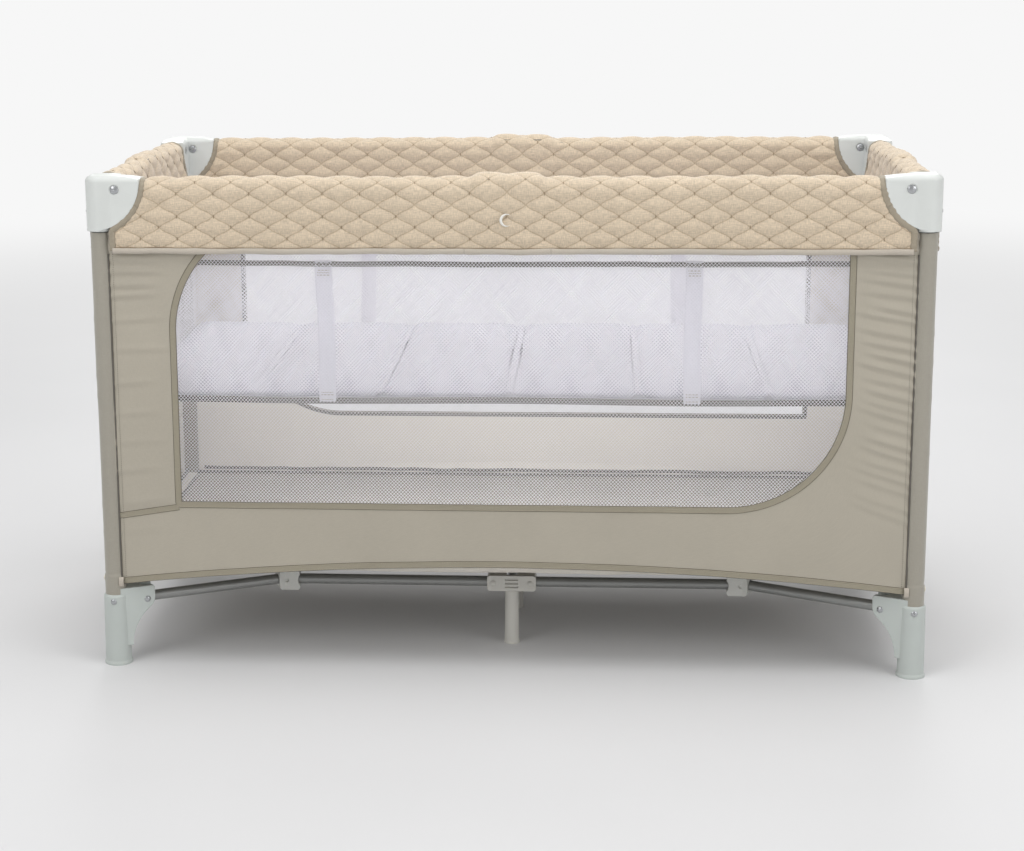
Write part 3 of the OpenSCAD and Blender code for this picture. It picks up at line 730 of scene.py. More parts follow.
def hem_height(s, half, rise):
    arch_r = (half * half + rise * rise) / (2 * rise)
    return HEM_Z + rise - arch_r + np.sqrt(np.maximum(arch_r ** 2 - np.asarray(s) ** 2, 0))


def wall_top(s, post):
    reach = np.minimum(np.abs(s), post)
    disc = CAP_DISC_Z - np.sqrt(np.maximum((CAP_DISC_R + 3) ** 2 - (post + 11 - reach) ** 2, 0))
    return np.where(np.abs(s) > post - 60, np.minimum(690, disc), 690)


def outer_loop(post, half, rise, counts):
    n_left, n_bottom, n_right, n_top = counts
    s = np.linspace(-half, half, n_bottom)
    bottom = np.stack([s, hem_height(s, half, rise)], -1)
    top_s = np.linspace(half, -half, n_top)
    top = np.stack([top_s, wall_top(top_s, post)], -1)
    z_top = float(wall_top(half, post))
    left = np.stack([np.full(n_left, -half), np.linspace(z_top, HEM_Z, n_left)], -1)
    right = np.stack([np.full(n_right, half), np.linspace(HEM_Z, z_top, n_right)], -1)
    return [left, bottom, right, top]


def wall_relief(s, z, side):
    """Height of the cloth's wrinkles: soft waves, and parallel folds that start at the posts."""
    out = wobble(s, z, 260, 5 + len(side.name)) * 0.9 + wobble(s, z * 0.4, 90, 6) * 0.25
    half = side.post - 12
    reach = 1.0 if side.long else 0.62
    rng = np.random.default_rng(23)
    # Each row of folds: its post, first and last height, step, first and last slope, and size
    for sign, z_from, z_to, step, tilt_from, tilt_to, height in (
            (1, 668, 238, 18.5, 0.10, 0.34, 1.5),
            (-1, 672, 560, 19.0, -0.05, 0.06, 1.3),
            (-1, 540, 200, 47.0, 0.04, 0.12, 0.8)):
        for z0 in np.arange(z_from, z_to, -step):
            share = (z_from - z0) / (z_from - z_to)
            tilt = tilt_from + (tilt_to - tilt_from) * share + rng.uniform(-0.03, 0.03)
            span, size = rng.uniform(75, 110) * reach, height * rng.uniform(0.6, 1.15)
            z1 = z0 + rng.uniform(-4, 4)
            for dz, width, swell in ((0, 4.8, 1.4), (-8, 4.4, -1.1)):
                end = (sign * (half - span), z1 + dz + tilt * span)
                out = out + crease(s, z, (sign * half, z1 + dz), end, width, size * swell)
    # The cloth draws in where it leaves the sleeves
    out = out - 1.6 * np.exp(-((half - np.abs(s)) / 5) ** 2)
    return out


def ribbon_profile(width, height):
    """Flat tape with a raised line of stitching near both edges, as (along n, along b) points."""
    outline = ((0, -1), (0.75, -0.96), (1, -0.80), (0.55, -0.62), (0.8, -0.3), (0.85, 0))
    mirrored = [(h, -w) for h, w in outline[-2::-1]]
    return np.array([*outline, *mirrored]) * (height, width / 2)


def on_wall(side, line, lift=0.0):
    """Points on the wall's surface for a line of (s, z), or for a grid of them."""
    s, z = np.moveaxis(np.asarray(line, float), -1, 0)
    return side.place(s, WALL_V + wall_relief(s, z, side) + lift, z)


def tape(piece, side, line, width, height, mat, closed=False):
    """A ribbon along a line of (s, z) on the wall's surface, with a fine dark cord at both edges."""
    path = on_wall(side, line)
    b = np.cross(side.out, tangents(path))
    piece.sweep(path, side.out, b, ribbon_profile(width, height), mat, closed=closed)
    for edge in (-1, 1):
        piece.sweep(path + b * edge * (width / 2 + 0.1), side.out, b, oval(0.7, 0.6, 6), 2, closed=closed)


def stitch_line(piece, side, line, mat):
    """Single thread stitches, 3.2 mm apart, along a line of (s, z) on the wall's surface."""
    length = np.hypot(*np.diff(line, axis=0).T).sum()
    dense = resample(line, int(length / 3.2) * 2)
    for k in range(0, len(dense) - 1, 2):
        path = on_wall(side, resample(dense[k:k + 2], 3), np.array([0.05, 0.5, 0.05]))
        b = np.cross(side.out, unit(path[-1] - path[0]))
        piece.sweep(path, side.out, b, oval(0.35, 0.4, 5), mat, scale=[0.5, 1, 0.5])


def build_wall(side):
    half = side.post - (8.0 if side.long else 13.0)
    rise = 34.0 if side.long else 34.0 / 3
    counts = (160, 300, 170, 300) if side.long else (110, 110, 110, 110)
    inner = np.concatenate([run[:-1] for run in window_loop(side, counts)])
    outer = np.concatenate([run[:-1] for run in outer_loop(side.post, half, rise, counts)])
    t = np.linspace(0, 1, 26)[:, None, None]
    piece = Piece()
    # The wall's inner face takes the paler inner cloth, painted light for the light shining through the wall
    piece.sheet(on_wall(side, inner * (1 - t) + outer * t), 1.1, side.out, close_j=True, inner_mat=4)
    # Binding around the window, with a dark cord on its inner side
    tape(piece, side, inner, 9.0, 1.3, 1, closed=True)
    lined = on_wall(side, inner, -1.8)
    run = np.roll(lined, -1, 0) - np.roll(lined, 1, 0)
    piece.sweep(lined, side.out, cross_unit(side.out, run), oval(0.8, 3.0, 8), 5, closed=True)
    # Strip between the wall and the edge of the floor, with a dark cord along the seam
    s = np.linspace(26.0 - side.post, side.post - 26.0, 120)
    seam_z = FLOOR_HIGH[2] + 3
    sag = 1.2 * wobble(s, 0, 160, 17)
    into = (FLOOR_HIGH[1] - POST_Y if side.long else FLOOR_HIGH[0] - POST_X) - 2
    raised = np.maximum(6, hem_height(s, half, rise) + 6 - seam_z)
    strip = [side.place(s, v, seam_z + dz + sag) for v, dz in (
        (WALL_V - 1.6, raised), (WALL_V - 4, raised * 0.5), (WALL_V - 8, 1.5), (WALL_V - 14, 0), (into, 0))]
    piece.sheet(np.stack(strip), 1.2, (0, 0, 1), 4)
    piece.sweep(side.place(s, WALL_V - 11, seam_z + 4 + sag), side.out, (0, 0, 1), oval(3.0, 3.2, 8), 5)
    # Binding along the hem, then what runs beside each sleeve: a seam, its stitches, a dark cord painted as
    # the shadow in the gap, a loop
    s = np.linspace(1 - half, half - 1, 240)
    tape(piece, side, np.stack([s, hem_height(s, half, rise) + 3.5], -1), 9.0, 1.4, 1)
    z = np.linspace(HEM_Z + 4, 640, 120)
    turn = np.linspace(-0.5 * math.pi, 0.5 * math.pi, 9)
    for sign in (-1, 1):
        tape(piece, side, np.stack([np.full(120, sign * (half - 3)), z], -1), 4.0, 1.6, 0)
        stitch_line(piece, side, [(sign * (half - 11.0), HEM_Z + 8), (sign * (half - 11.0), 640)], 2)
        # A dark cord down the gap between wall and sleeve: painted shadow of that recess
        gap_shadow_cord = side.place(sign * (side.post - 12.2), WALL_V + 0.2, z)
        piece.sweep(gap_shadow_cord, side.out, side.along, oval(1.0, 1.1, 8), 5)
        loop = side.place(sign * (half - 4), WALL_V + 2 + 3 * np.cos(turn), HEM_Z + 3 + 7 * np.sin(turn))
        across = np.broadcast_to(side.along, loop.shape)
        flat = [(-0.5, -3.5), (0.5, -3.5), (0.5, 3.5), (-0.5, 3.5)]
        piece.sweep(loop, np.cross(tangents(loop), across), across, flat, 3)
    # Tape that runs down from the window's corner to the post
    run = np.linspace(2, half - side.window / 2, 60)
    tape(piece, side, np.stack([run - half, WINDOW_Z - np.linspace(19, 4, 60)], -1), 8.5, 1.3, 1)
    materials = [WALL, TAPE, STITCH, PIPING, INNER_WALL_PAINTED_LIGHT, TAPE_DARK]
    obj = piece.build(f"wall_{side.name}", materials, "wall_cloth", sharp=60)
    fold_with_posts(obj, side)
    return obj


def fold_with_posts(obj, side):
    """Attaches a piece to the side's corner body and gives it its own copy of its mesh."""
    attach(obj, side.corner)
    tuple(side.along)
    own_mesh(obj)


walls = {side.name: build_wall(side) for side in SIDES}
for name, wall in walls.items():
    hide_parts(f"panel_{name}")


# ---------------------------------------------------------------- nets

def inside_window(s, z, side, margin):
    h, r = side.window / 2 + margin, corner_radius(side)
    ok = (np.abs(s) < h) & (z > WINDOW_Z - margin) & (z < WINDOW_TOP + margin)
    right, low = s - (h - r), z - (WINDOW_Z - margin + r)
    ok &= (right <= 0) | (low >= 0) | (np.hypot(right, low) < r)
    if side.round_top:
        left, high = s + (h - r), z - (ROUND_TOP + margin - r)
        ok &= (left >= 0) | (high <= 0) | (np.hypot(left, high) < r)
    return ok


def net(piece, place, s_range, z_range, keep, pitch=(5.2, 5.4), yarn=0.76):
    """A knitted net: a lattice of diamonds with open middles, as one flat mesh with raised yarn."""
    (s_low, s_high), (z_low, z_high) = s_range, z_range
    half_s, half_z = pitch[0] / 2, pitch[1] / 2
    ns, nz = int((s_high - s_low) / half_s), int((z_high - z_low) / half_z)
    i, j = np.meshgrid(np.arange(1, ns), np.arange(1, nz), indexing="ij")
    use = ((i + j) % 2 == 0) & keep(s_low + i * half_s, z_low + j * half_z)
    i, j = i[use], j[use]
    row = nz + 2
    corners = np.stack([(i + a) * row + (j + b) for a, b in ((1, 0), (0, 1), (-1, 0), (0, -1))], 1)
    ids, index = np.unique(corners, return_inverse=True)
    index = index.reshape(corners.shape)
    # Openings with blunt upright corners look knitted: a quarter of the outline, and its mirror images
    quarter = np.array([(yarn * 0.98, 0.10), (yarn * 0.14, 0.86 * yarn)])
    upper = np.concatenate([quarter, quarter[::-1] * (-1, 1)])
    hole = np.concatenate([upper, -upper])
    hole_s = s_low + (i[:, None] + hole[:, 0]) * half_s
    hole_z = z_low + (j[:, None] + hole[:, 1]) * half_z
    own = len(ids) + np.arange(len(i))[:, None] * 8 + np.arange(8)
    quads, tris = [], []
    for k in range(4):
        here, after = index[:, k], index[:, (k + 1) % 4]
        quads.append(np.stack([here, after, own[:, 2 * k + 1], own[:, 2 * k]], 1))
        tris.append(np.stack([after, own[:, (2 * k + 2) % 8], own[:, 2 * k + 1]], 1))
    flat_s = np.concatenate([s_low + (ids // row) * half_s, hole_s.ravel()])
    flat_z = np.concatenate([z_low + (ids % row) * half_z, hole_z.ravel()])
    lift = np.concatenate([np.full(len(ids), 0.35), np.zeros(hole_s.size)])
    piece.add(place(flat_s, flat_z, lift), quads + tris, uv=np.stack([flat_s, flat_z], -1))


def window_net(side):
    half = side.window / 2

    def place(s, z, lift):
        edge = np.minimum(np.minimum(half - np.abs(s), z - WINDOW_Z), WINDOW_TOP - z)
        soft = smooth(edge / 60)
        wave = wobble(s, z, 240, 31) * 1.4 + wobble(s, z, 70, 32) * 0.25
        return side.place(s, WALL_V - 0.5 + wave * soft + lift + wall_relief(s, z, side) * (1 - soft), z)
    piece = Piece()
    net(piece, place, (-half - 4, half + 4), (WINDOW_Z - 4, WINDOW_TOP + 4),
        lambda s, z: inside_window(s, z, side, 1.5))
    obj = piece.build(f"net_{side.name}", [NET], "mesh_net", sharp=None)
    fold_with_posts(obj, side)
    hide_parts("mesh_windows")


for side in SIDES:
    window_net(side)


# ---------------------------------------------------------------- sleeves around the posts

FOOT_TOP = box_mm("foot_front_left")[1][2] - 9


def build_sleeve(corner, sx, sy, seed):
    """A cloth tube around a post with a folded hem at the foot and a gathered top under the cap."""
    top = CAP_LOW[2] - 2
    z = np.concatenate([np.linspace(FOOT_TOP, HEM_Z - 1, 8), np.linspace(HEM_Z, HEM_Z + 14, 8),
                        np.linspace(HEM_Z + 15, top, 150)])
    turn = np.arange(40) * 2 * math.pi / 40
    zz, aa = np.meshgrid(z, turn, indexing="ij")
    r = 15.4 + 0.35 * wobble(zz * 0.35, aa * 30, 130, seed) * (1 + np.cos(aa)) / 2
    r += 0.8 * smooth((HEM_Z + 14 - zz) / 2) - 0.4 * np.exp(-((zz - HEM_Z - 15.5) / 1.5) ** 2)
    r += 0.5 * np.exp(-((zz - top) / 8) ** 2) * np.sin(aa * 9)
    for k in range(7):
        rng = np.random.default_rng(seed * 7 + k)
        at, tilt = rng.uniform(HEM_Z + 40, top - 30), rng.uniform(-14, 14)
        span = np.cos(aa - rng.uniform(0, 2 * math.pi)) * 0.5 + 0.5
        r += 0.45 * np.exp(-((zz - at - tilt * np.sin(aa)) / 6) ** 2) * span
    out = np.stack([np.cos(aa) * sx, np.sin(aa) * sy, np.zeros_like(aa)], -1)
    piece = Piece()
    piece.sheet((sx * POST_X, sy * POST_Y, 0) + out * r[..., None] + zz[..., None] * (0, 0, 1), 1.1, out,
                close_j=True)
    obj = piece.build(f"sleeve_{corner}", [SLEEVE], "wall_cloth")
    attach(obj, f"corner_{corner}")


for seed, (corner, sx, sy) in enumerate((("front_left", -1, -1), ("front_right", 1, -1),
                                         ("rear_left", -1, 1), ("rear_right", 1, 1)), start=60):
    build_sleeve(corner, sx, sy, seed)


# ---------------------------------------------------------------- floor

KNUCKLE_X = abs(centre_mm("knuckle_front_left")[0])
BRACKET_X = 29.4


def floor_sheet(name, body, x_range, y_range):
    """A part of the floor cloth with dark binding on its outer edges, attached to one body of the base."""
    (x0, x1), (y0, y1) = sorted(x_range), sorted(y_range)
    nx, ny = max(6, int((x1 - x0) / 8)), max(6, int((y1 - y0) / 8))
    x, y = np.meshgrid(np.linspace(x0, x1, nx), np.linspace(y0, y1, ny), indexing="ij")
    edge = smooth(np.minimum(FLOOR_HIGH[0] - np.abs(x), FLOOR_HIGH[1] - np.abs(y)) / 60)
    z = FLOOR_HIGH[2] + wobble(x, y, 320, 81) * 1.6 * edge + wobble(x, y, 70, 82) * 0.5 * edge
    z = z + 2.2 * np.exp(-(x / 40) ** 2 - (y / 60) ** 2)
    for line_x in (-KNUCKLE_X, 0, KNUCKLE_X):
        z = z - 1.0 * np.exp(-((x - line_x) / 4) ** 2)
    z = z + 3.0 * smooth(1 - (FLOOR_HIGH[1] - np.abs(y)) / 14)
    p = np.stack([x, y, z], -1)
    piece = Piece()
    piece.sheet(p, 1.4, (0, 0, 1))
    # Dark binding along the edges that lie on the outline of the floor
    for line, across, at, limit in (
            (p[:, 0], (0, 1, 0), -y0, FLOOR_HIGH[1]), (p[:, -1], (0, 1, 0), y1, FLOOR_HIGH[1]),
            (p[0], (1, 0, 0), -x0, FLOOR_HIGH[0]), (p[-1], (1, 0, 0), x1, FLOOR_HIGH[0])):
        if abs(at - limit) < 1:
            piece.sweep(line + (0, 0, 1), (0, 0, 1), across, oval(3.2, 3.2, 8), 1)
    obj = piece.build(name, [FLOOR, TAPE_DARK], "floor_cloth")
    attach(obj, body)
    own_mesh(obj)
    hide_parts("floor_cloth")
    return obj


floors = []
for row, sy in (("front", -1), ("rear", 1)):
    for column, sx in (("left", -1), ("right", 1)):
        for part, x_from, x_to in (("outer", KNUCKLE_X, FLOOR_HIGH[0]), ("inner", BRACKET_X, KNUCKLE_X)):
            floors.append(floor_sheet(f"floor_{part}_{row}_{column}", f"spine_{row}_{column}",
                                      (sx * x_from, sx * x_to), (0, sy * FLOOR_HIGH[1])))
floors.append(floor_sheet("floor_middle", "hub", (-BRACKET_X, BRACKET_X), (-FLOOR_HIGH[1], FLOOR_HIGH[1])))


# ---------------------------------------------------------------- hanging insert

TRAY_Y = (PAD_HIGH[1] - PAD_LOW[1]) / 2 + 3
TRAY_Z = PAD_LOW[2] - 1
TAPE_Z = INSERT_HIGH[2] - 7
STRAP_X, STRAP_W = 272.0, 25.0


def ring_path(hx, hy, r):
    """A rounded rectangle around the middle in steps of 4 mm, and its outward normals."""
    points, normals = [], []
    for cx, cy, start in ((hx - r, r - hy, -90), (hx - r, hy - r, 0), (r - hx, hy - r, 90),
                          (r - hx, r - hy, 180)):
        for t in np.radians(np.linspace(start, start + 90, 7)):
            normals.append((math.cos(t), math.sin(t), 0))
            points.append((cx + r * math.cos(t), cy + r * math.sin(t)))
    points, normals = np.array(points), np.array(normals)
    dense_p, dense_n = [], []
    for a, b, na, nb in zip(points, np.roll(points, -1, 0), normals, np.roll(normals, -1, 0)):
        count = max(1, int(np.hypot(*(b - a)) / 4))
        for t in np.arange(count) / count:
            dense_p.append(a + (b - a) * t)
            dense_n.append(na + (nb - na) * t)
    return np.array(dense_p), np.array(dense_n)


def zip_band(hx, hy):
    xy, n = ring_path(hx - 1, hy - 1, 5)
    path = np.column_stack([xy, TAPE_Z + wobble(xy[:, 0], xy[:, 1], 300, 91) * 1.2])
    piece = Piece()
    lower = np.array([(-1, -4), (0.2, -4), (0.8, -3.6), (0.3, -2.8), (0.5, -1.6), (1.4, -1)])
    piece.sweep(path, n, (0, 0, 1), np.concatenate([lower, lower[::-1] * (1, -1)]), closed=True)
    # Zip teeth along the middle of the band, on the long sides
    for sy in (-1, 1):
        for x in np.arange(-hx + 30, hx - 29, 7.5):
            line = [(x + dx, sy * (hy + 0.6), TAPE_Z + 0.8) for dx in (-1.6, 1.6)]
            piece.sweep(line, (0, sy, 0), (0, 0, 1), oval(0.7, 1.3, 6), 1)
    obj = piece.build("insert_zip_band", [ZIP, TAPE_DARK], "insert_cloth", sharp=60)
    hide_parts("insert")
    return obj


def side_nets(hx, hy):
    """Nets from the band down to the tray."""
    low, high = TRAY_Z, TAPE_Z - 2

    def placer(turned, sign, top_half, low_half):
        def place(s, z, lift):
            t = (z - low) / (high - low)
            sag = np.sin(np.clip(t, 0, 1) * math.pi)
            out = low_half + (top_half - low_half) * t + (wobble(s, z, 180, 92) * 1.5 - 3) * sag + lift
            return np.stack([sign * out, sign * s, z] if turned else [-sign * s, sign * out, z], -1)
        return place

    piece = Piece()
    for sign in (-1, 1):
        for turned, top_half, low_half, s_range in ((False, hy - 3, TRAY_Y, (4 - hx, hx - 4)),
                                                    (True, hx - 3, hx - 4, (-TRAY_Y, TRAY_Y))):
            net(piece, placer(turned, sign, top_half, low_half), s_range, (low, high),
                lambda s, z: (z > low) & (z < high), (5.8, 5.8), 0.78)
    return piece.build("insert_side_nets", [NET], "mesh_net", sharp=None)


def tray(hx):
    """Board cover with a piped lower edge that sags a little between the straps."""
    piece = Piece()
    x, y = np.meshgrid(np.linspace(3 - hx, hx - 3, 140), np.linspace(-TRAY_Y, TRAY_Y, 60), indexing="ij")
    sag = 1.2 * np.cos(x * math.pi / STRAP_X) - 1.2
    z = TRAY_Z - 1.2 + sag * smooth((TRAY_Y - np.abs(y)) / 40 + 0.2) + wobble(x, y, 120, 93) * 0.3
    piece.sheet(np.stack([x, y, z], -1), 1.8, (0, 0, 1))
    xy, n = ring_path(hx - 4, TRAY_Y, 6)
    path = np.column_stack([xy, TRAY_Z + 0.5 + 1.1 * (np.cos(xy[:, 0] * math.pi / STRAP_X) - 1)])
    piece.sweep(path, n, (0, 0, 1), oval(1.8, 5.0), 1, closed=True)
    return piece.build("insert_tray", [WEBBING, TAPE_DARK], "insert_cloth", sharp=60)


def straps(hy):
    """Four webbing straps from under the tray up to the band, with a box stitch at both ends."""
    w, h = STRAP_W / 2, 0.9
    right = np.array([(-h, w), (-0.2, w + 0.5), (h * 0.6, w - 0.6), (h, w - 2.2), (0.5 * h, w - 4)])
    profile = np.concatenate([right[:1] * (1, -1), right, [(0.7 * h, 0)], right[:0:-1] * (1, -1)])
    piece = Piece()
    t = np.linspace(0, 1, 60)
    z = TRAY_Z - 3 + (TAPE_Z + 8 - TRAY_Z) * t
    out = TRAY_Y + 1.2 + (hy - TRAY_Y - 1.4) * t - 1.5 * np.sin(t * math.pi)
    for sy in (-1, 1):
        for x0 in (-STRAP_X, STRAP_X):
            path = np.stack([x0 + 0.8 * np.sin(t * 7 + x0), sy * out, z], -1)
            across = np.broadcast_to((1.0, 0, 0), path.shape)
            tangent = tangents(path)
            n = np.cross(across, tangent)
            n *= np.sign(n[0, 1] * sy)
            piece.sweep(path, n, across, profile)
            for stitch_z in (TRAY_Z + 7, TAPE_Z - 14):
                for dz in (-5, 0, 5):
                    k = int(np.argmin(np.abs(z - stitch_z - dz)))
                    line = path[k] + np.outer(np.linspace(-9, 9, 13), (1, 0, 0)) + n[k] * 0.9
                    piece.sweep(line, n[k], tangent[k], oval(0.35, 0.5, 6), 1)
    return piece.build("insert_straps", [WEBBING, PIPING], "insert_cloth", sharp=60)


half_x, half_y = INSERT_HIGH[:2]
for piece in (zip_band(half_x, half_y), side_nets(half_x, half_y), tray(half_x), straps(half_y)):
    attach(piece, "insert")


# ---------------------------------------------------------------- mattress

PANELS = 6
PAD_PITCH = (PAD_HIGH[0] - PAD_LOW[0] + 3) / PANELS
PAD_START = PAD_LOW[0] - 1.5
PAD_W, PAD_D, PAD_H = 188.0, 558.0, 19.0
PAD_GRID = 34, 90


def add_pad(piece, centre_x):
    """One closed padded board: crowned top, flat underside, sides that pull in between the corners."""
    nx, ny = PAD_GRID
    u, w = np.meshgrid(np.linspace(-1, 1, nx), np.linspace(-1, 1, ny), indexing="ij")
    x = u * PAD_W / 2 * (1 - 0.018 * (1 - w ** 2) * np.abs(u)) + centre_x
    y = w * PAD_D / 2 * (1 - 0.006 * (1 - u ** 2) * np.abs(w))
    edge = np.minimum((1 - np.abs(u)) * PAD_W / 2, (1 - np.abs(w)) * PAD_D / 2)
    round_up = np.sqrt(np.clip(1 - (1 - np.clip(edge / 16, 0, 1)) ** 2, 0, 1))
    top = PAD_H * (0.42 + 0.5 * round_up) + 1.2 * smooth(edge / 90)
    bottom = PAD_H * 0.42 * (1 - round_up)
    verts = [np.stack([x, y, PAD_LOW[2] + z], -1).reshape(-1, 3) for z in (top, bottom)]
    below = nx * ny
    faces = [Piece.quads(nx, ny), Piece.quads(nx, ny, flip=True) + below]
    for line, turned in ((np.arange(ny), False), ((nx - 1) * ny + np.arange(ny), True),
                         (np.arange(nx) * ny, True), (np.arange(nx) * ny + ny - 1, False)):
        faces.append(Piece.rim(line, below, turned))
    piece.add(np.concatenate(verts), faces)


def build_mattress():
    pads = Piece()
    for k in range(PANELS):
        add_pad(pads, PAD_START + PAD_PITCH * (k + 0.5))
    pads = pads.build("mattress_pads", [PAD], "mattress_cloth", sharp=None)
    inflate(pads, PAD_LOW[2])
    seams = Piece()
    # Cloth web, folded and stitched, in each valley between two pads
    y = np.linspace(PAD_LOW[1] + 3, PAD_HIGH[1] - 3, 110)
    for k in range(1, PANELS):
        x = PAD_START + PAD_PITCH * k + 0.5 * np.sin(y / 31.0 + k)
        line = np.stack([x, y, PAD_LOW[2] + 10.5 + 0.5 * np.sin(y / 17.0 + k)], -1)
        seams.sweep(line, (0, 0, 1), (1, 0, 0), oval(1.8, 5.5, 10))
        for j in range(0, 108, 2):
            seams.sweep(line[j:j + 2] + (0, 0, 1.7), (0, 0, 1), (1, 0, 0), oval(0.4, 0.5, 5), 1)
    seams = seams.build("mattress_seams", [PAD, WEBBING], "mattress_cloth")
    for obj in (pads, seams):
        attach(obj, "mattress")
        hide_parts("mattress")


def points_mm(obj):
    flat = np.zeros(len(obj.data.vertices) * 3)
    obj.data.vertices.foreach_get("co", flat)
    return flat.reshape(-1, 3) * 1000


def inflate(obj, low):
    """Cloth simulation of the pads: they swell against their pinned edges, then rest flat below."""
    scene = bpy.context.scene
    bpy.context.view_layer.objects.active = obj
    remesh = obj.modifiers.new("remesh", "REMESH")
    remesh.mode, remesh.voxel_size = "VOXEL", 0.0055
    bpy.ops.object.modifier_apply(modifier="remesh")
    start = points_mm(obj)
    x, y, z = start.T
    local = (x - PAD_START) % PAD_PITCH
    edge = np.minimum(np.minimum(local, PAD_PITCH - local) - 2.5, PAD_HIGH[1] - np.abs(y) - 2)
    pins = obj.vertex_groups.new(name="pins")
    hold = (edge < 4) & (np.abs(z - low - 9) < 5) | (z < low + 1.2)
    pins.add([int(i) for i in np.nonzero(hold)[0]], 1.0, "REPLACE")
    sim = obj.modifiers.new("cloth", "CLOTH")
    sim.settings.use_pressure = True
    sim.settings.uniform_pressure_force = 4.0
    sim.settings.effector_weights.gravity = 0
    sim.settings.vertex_group_mass = "pins"
    sim.settings.tension_stiffness = 12
    sim.settings.compression_stiffness = 12
    sim.settings.bending_stiffness = 0.3
    sim.settings.quality = 5
    sim.point_cache.frame_start, sim.point_cache.frame_end = 1, 20
    for f in range(1, 21):
        scene.frame_set(f)
    bpy.ops.object.modifier_apply(modifier="cloth")
    scene.frame_set(1)
    shift = points_mm(obj) - start
    size = np.linalg.norm(shift, axis=1, keepdims=True)
    furthest = 6.0
    final = start + shift * np.minimum(1, furthest / np.maximum(size, 1e-9))
    # Soft creases that run in from the seams
    pad = np.floor((x - PAD_START) / PAD_PITCH)
    on_top = smooth((z - low - 8) / 8)
    pucker = np.exp(-np.maximum(edge, 0) / 22)
    final[:, 2] += on_top * pucker * 1.1 * wobble(y, pad * 37, 24, 95)
    final[:, 2] += on_top * 0.9 * wobble(x + pad * 11, y, 110, 96)
    final[:, 2] += on_top * 0.45 * wobble(x, y + pad * 23, 34, 97)
    final[:, 2] = np.maximum(final[:, 2], low)
    final[:, 1] = np.clip(final[:, 1], PAD_LOW[1] - 0.5, PAD_HIGH[1] + 0.5)
    obj.data.vertices.foreach_set("co", (final * 0.001).astype(np.float32).ravel())
    obj.vertex_groups.clear()
    smoothing = obj.modifiers.new("smooth", "SMOOTH")
    smoothing.factor, smoothing.iterations = 0.5, 2
    bpy.ops.object.modifier_apply(modifier="smooth")
    obj.data.polygons.foreach_set("use_smooth", np.ones(len(obj.data.polygons), bool))
    # The remesh drops the coordinates that the weave follows
    uv = obj.data.uv_layers.new(name="UVMap")
    loops = np.zeros(len(obj.data.loops), np.int32)
    obj.data.loops.foreach_get("vertex_index", loops)
    flat = np.stack([final[:, 0], final[:, 1] + final[:, 2]], -1)[loops] * 0.001
    uv.data.foreach_set("uv", flat.astype(np.float32).ravel())


build_mattress()


# ---------------------------------------------------------------- stage, light and camera

BACKDROP = 0.93
STAGE_HALF = 14.0


def stage_material():
    m = Shader("stage_floor")
    place = m.node("TexCoord").outputs["Object"]
    tone = m.ramp(m.noise(place, 1.5, 2.0, 0.5), 0.3, 0.7, (0.70, 0.70, 0.705, 1), (0.72, 0.72, 0.725, 1))
    material = m.finish(Base_Color=tone, Roughness=0.6)
    # The floor fades into the pale background with distance
    away = m.node("VectorMath", {0: place}, operation="LENGTH").outputs["Value"]
    share = m.node("MapRange", {"Value": away, "From Min": 1.6, "From Max": 5.5},
                   interpolation_type="SMOOTHSTEP").outputs[0]
    m.blend_in(share, m.node("Emission", {"Color": (1, 1, 1, 1), "Strength": BACKDROP}).outputs[0])
    return material


mesh = bpy.data.meshes.new("stage_floor")
mesh.from_pydata([(x * STAGE_HALF, y * STAGE_HALF, 0) for x, y in ((-1, -1), (1, -1), (1, 1), (-1, 1))], [],
                 [(0, 1, 2, 3)])
mesh.materials.append(stage_material())
ground = bpy.data.objects.new("stage_floor", mesh)
bpy.context.scene.collection.objects.link(ground)


def area_light(name, place, target, power, width, height):
    data = bpy.data.lights.new(name, "AREA")
    data.shape, data.size, data.size_y = "RECTANGLE", width, height
    data.energy = power
    obj = bpy.data.objects.new(name, data)
    obj.location = place
    obj.rotation_euler = (Vector(target) - Vector(place)).to_track_quat("-Z", "Y").to_euler()
    obj.visible_camera = False
    bpy.context.scene.collection.objects.link(obj)
    return obj


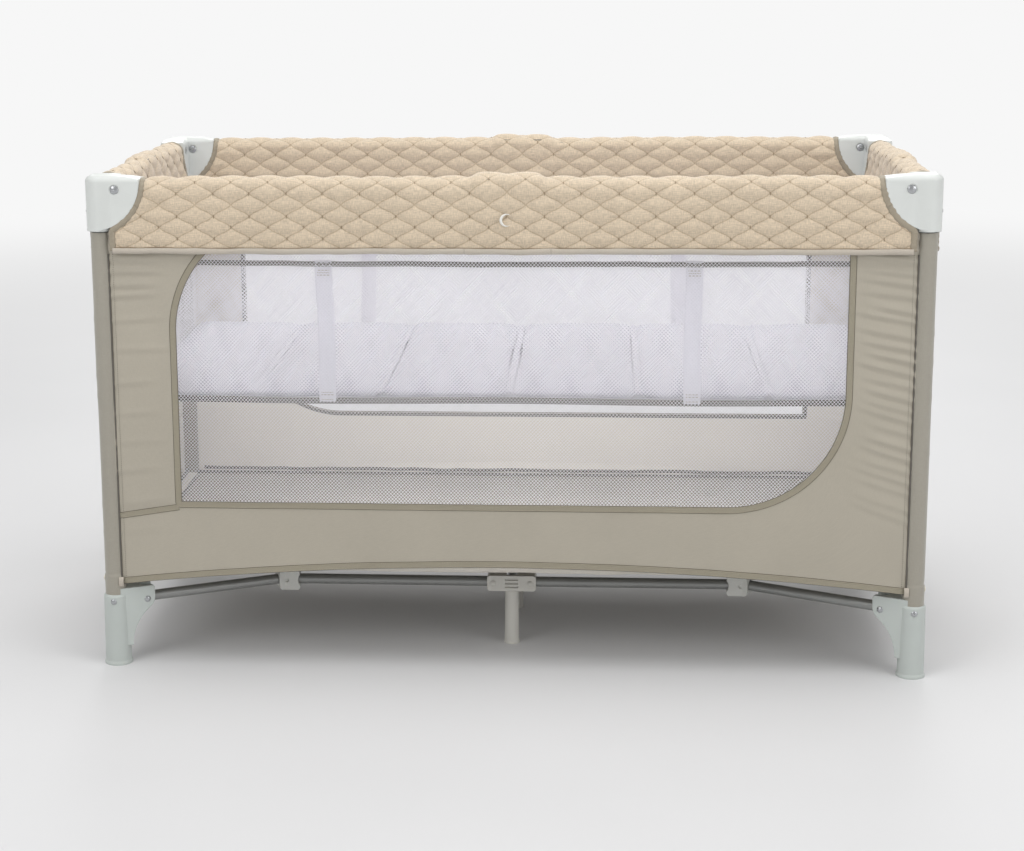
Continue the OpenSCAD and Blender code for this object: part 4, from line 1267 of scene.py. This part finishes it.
area_light("top", (0.2, -0.6, 3.2), (0, 0, 0.4), 62, 3.4, 2.6)
area_light("key", (-2.6, -3.2, 2.6), (0, 0, 0.4), 35, 2.2, 1.8)
area_light("fill", (3.0, -2.6, 1.8), (0, 0, 0.4), 27, 2.2, 1.8)
area_light("back", (0.0, 3.4, 2.6), (0, 0, 0.5), 55, 3.0, 1.6)
# A dim panel under the mattress lifts the shade on the walls and the floor cloth, and on nothing else
inside = area_light("inside", (0.0, -0.15, 0.36), (0, 0.35, 0.2), 2.8, 0.9, 0.1)
lit = bpy.data.collections.new("lit_from_inside")
for piece in [*walls.values(), *floors]:
    lit.objects.link(piece)
inside.light_linking.receiver_collection = lit

world = bpy.data.worlds.new("studio")
world.use_nodes = True
sky = world.node_tree.nodes["Background"]
sky.inputs[0].default_value = (1, 1, 1, 1)
seen = world.node_tree.nodes.new("ShaderNodeLightPath").outputs["Is Camera Ray"]
level = world.node_tree.nodes.new("ShaderNodeMapRange")
level.inputs["To Min"].default_value, level.inputs["To Max"].default_value = 0.50, BACKDROP
world.node_tree.links.new(seen, level.inputs["Value"])
world.node_tree.links.new(level.outputs[0], sky.inputs[1])
bpy.context.scene.world = world
bpy.context.scene.view_settings.view_transform = "Standard"

camera_data = bpy.data.cameras.new("camera")
camera_data.lens, camera_data.sensor_width, camera_data.sensor_fit = 73.79, 36.0, "HORIZONTAL"
camera_data.shift_x, camera_data.shift_y = 0.0823, -0.0349
camera_data.clip_end = 60
camera = bpy.data.objects.new("camera", camera_data)
yaw, pitch, roll = (math.radians(a) for a in (-4.728, 12.109, -0.607))
forward = Vector((math.sin(yaw) * math.cos(pitch), math.cos(yaw) * math.cos(pitch), -math.sin(pitch)))
right = Vector((math.cos(yaw), -math.sin(yaw), 0))
up = right.cross(forward)
right, up = right * math.cos(roll) + up * math.sin(roll), up * math.cos(roll) - right * math.sin(roll)
facing = Matrix((right, up, -forward)).transposed().to_4x4()
camera.matrix_world = Matrix.Translation((0.1326, -3.3563, 1.0915)) @ facing
bpy.context.scene.collection.objects.link(camera)
bpy.context.scene.camera = camera
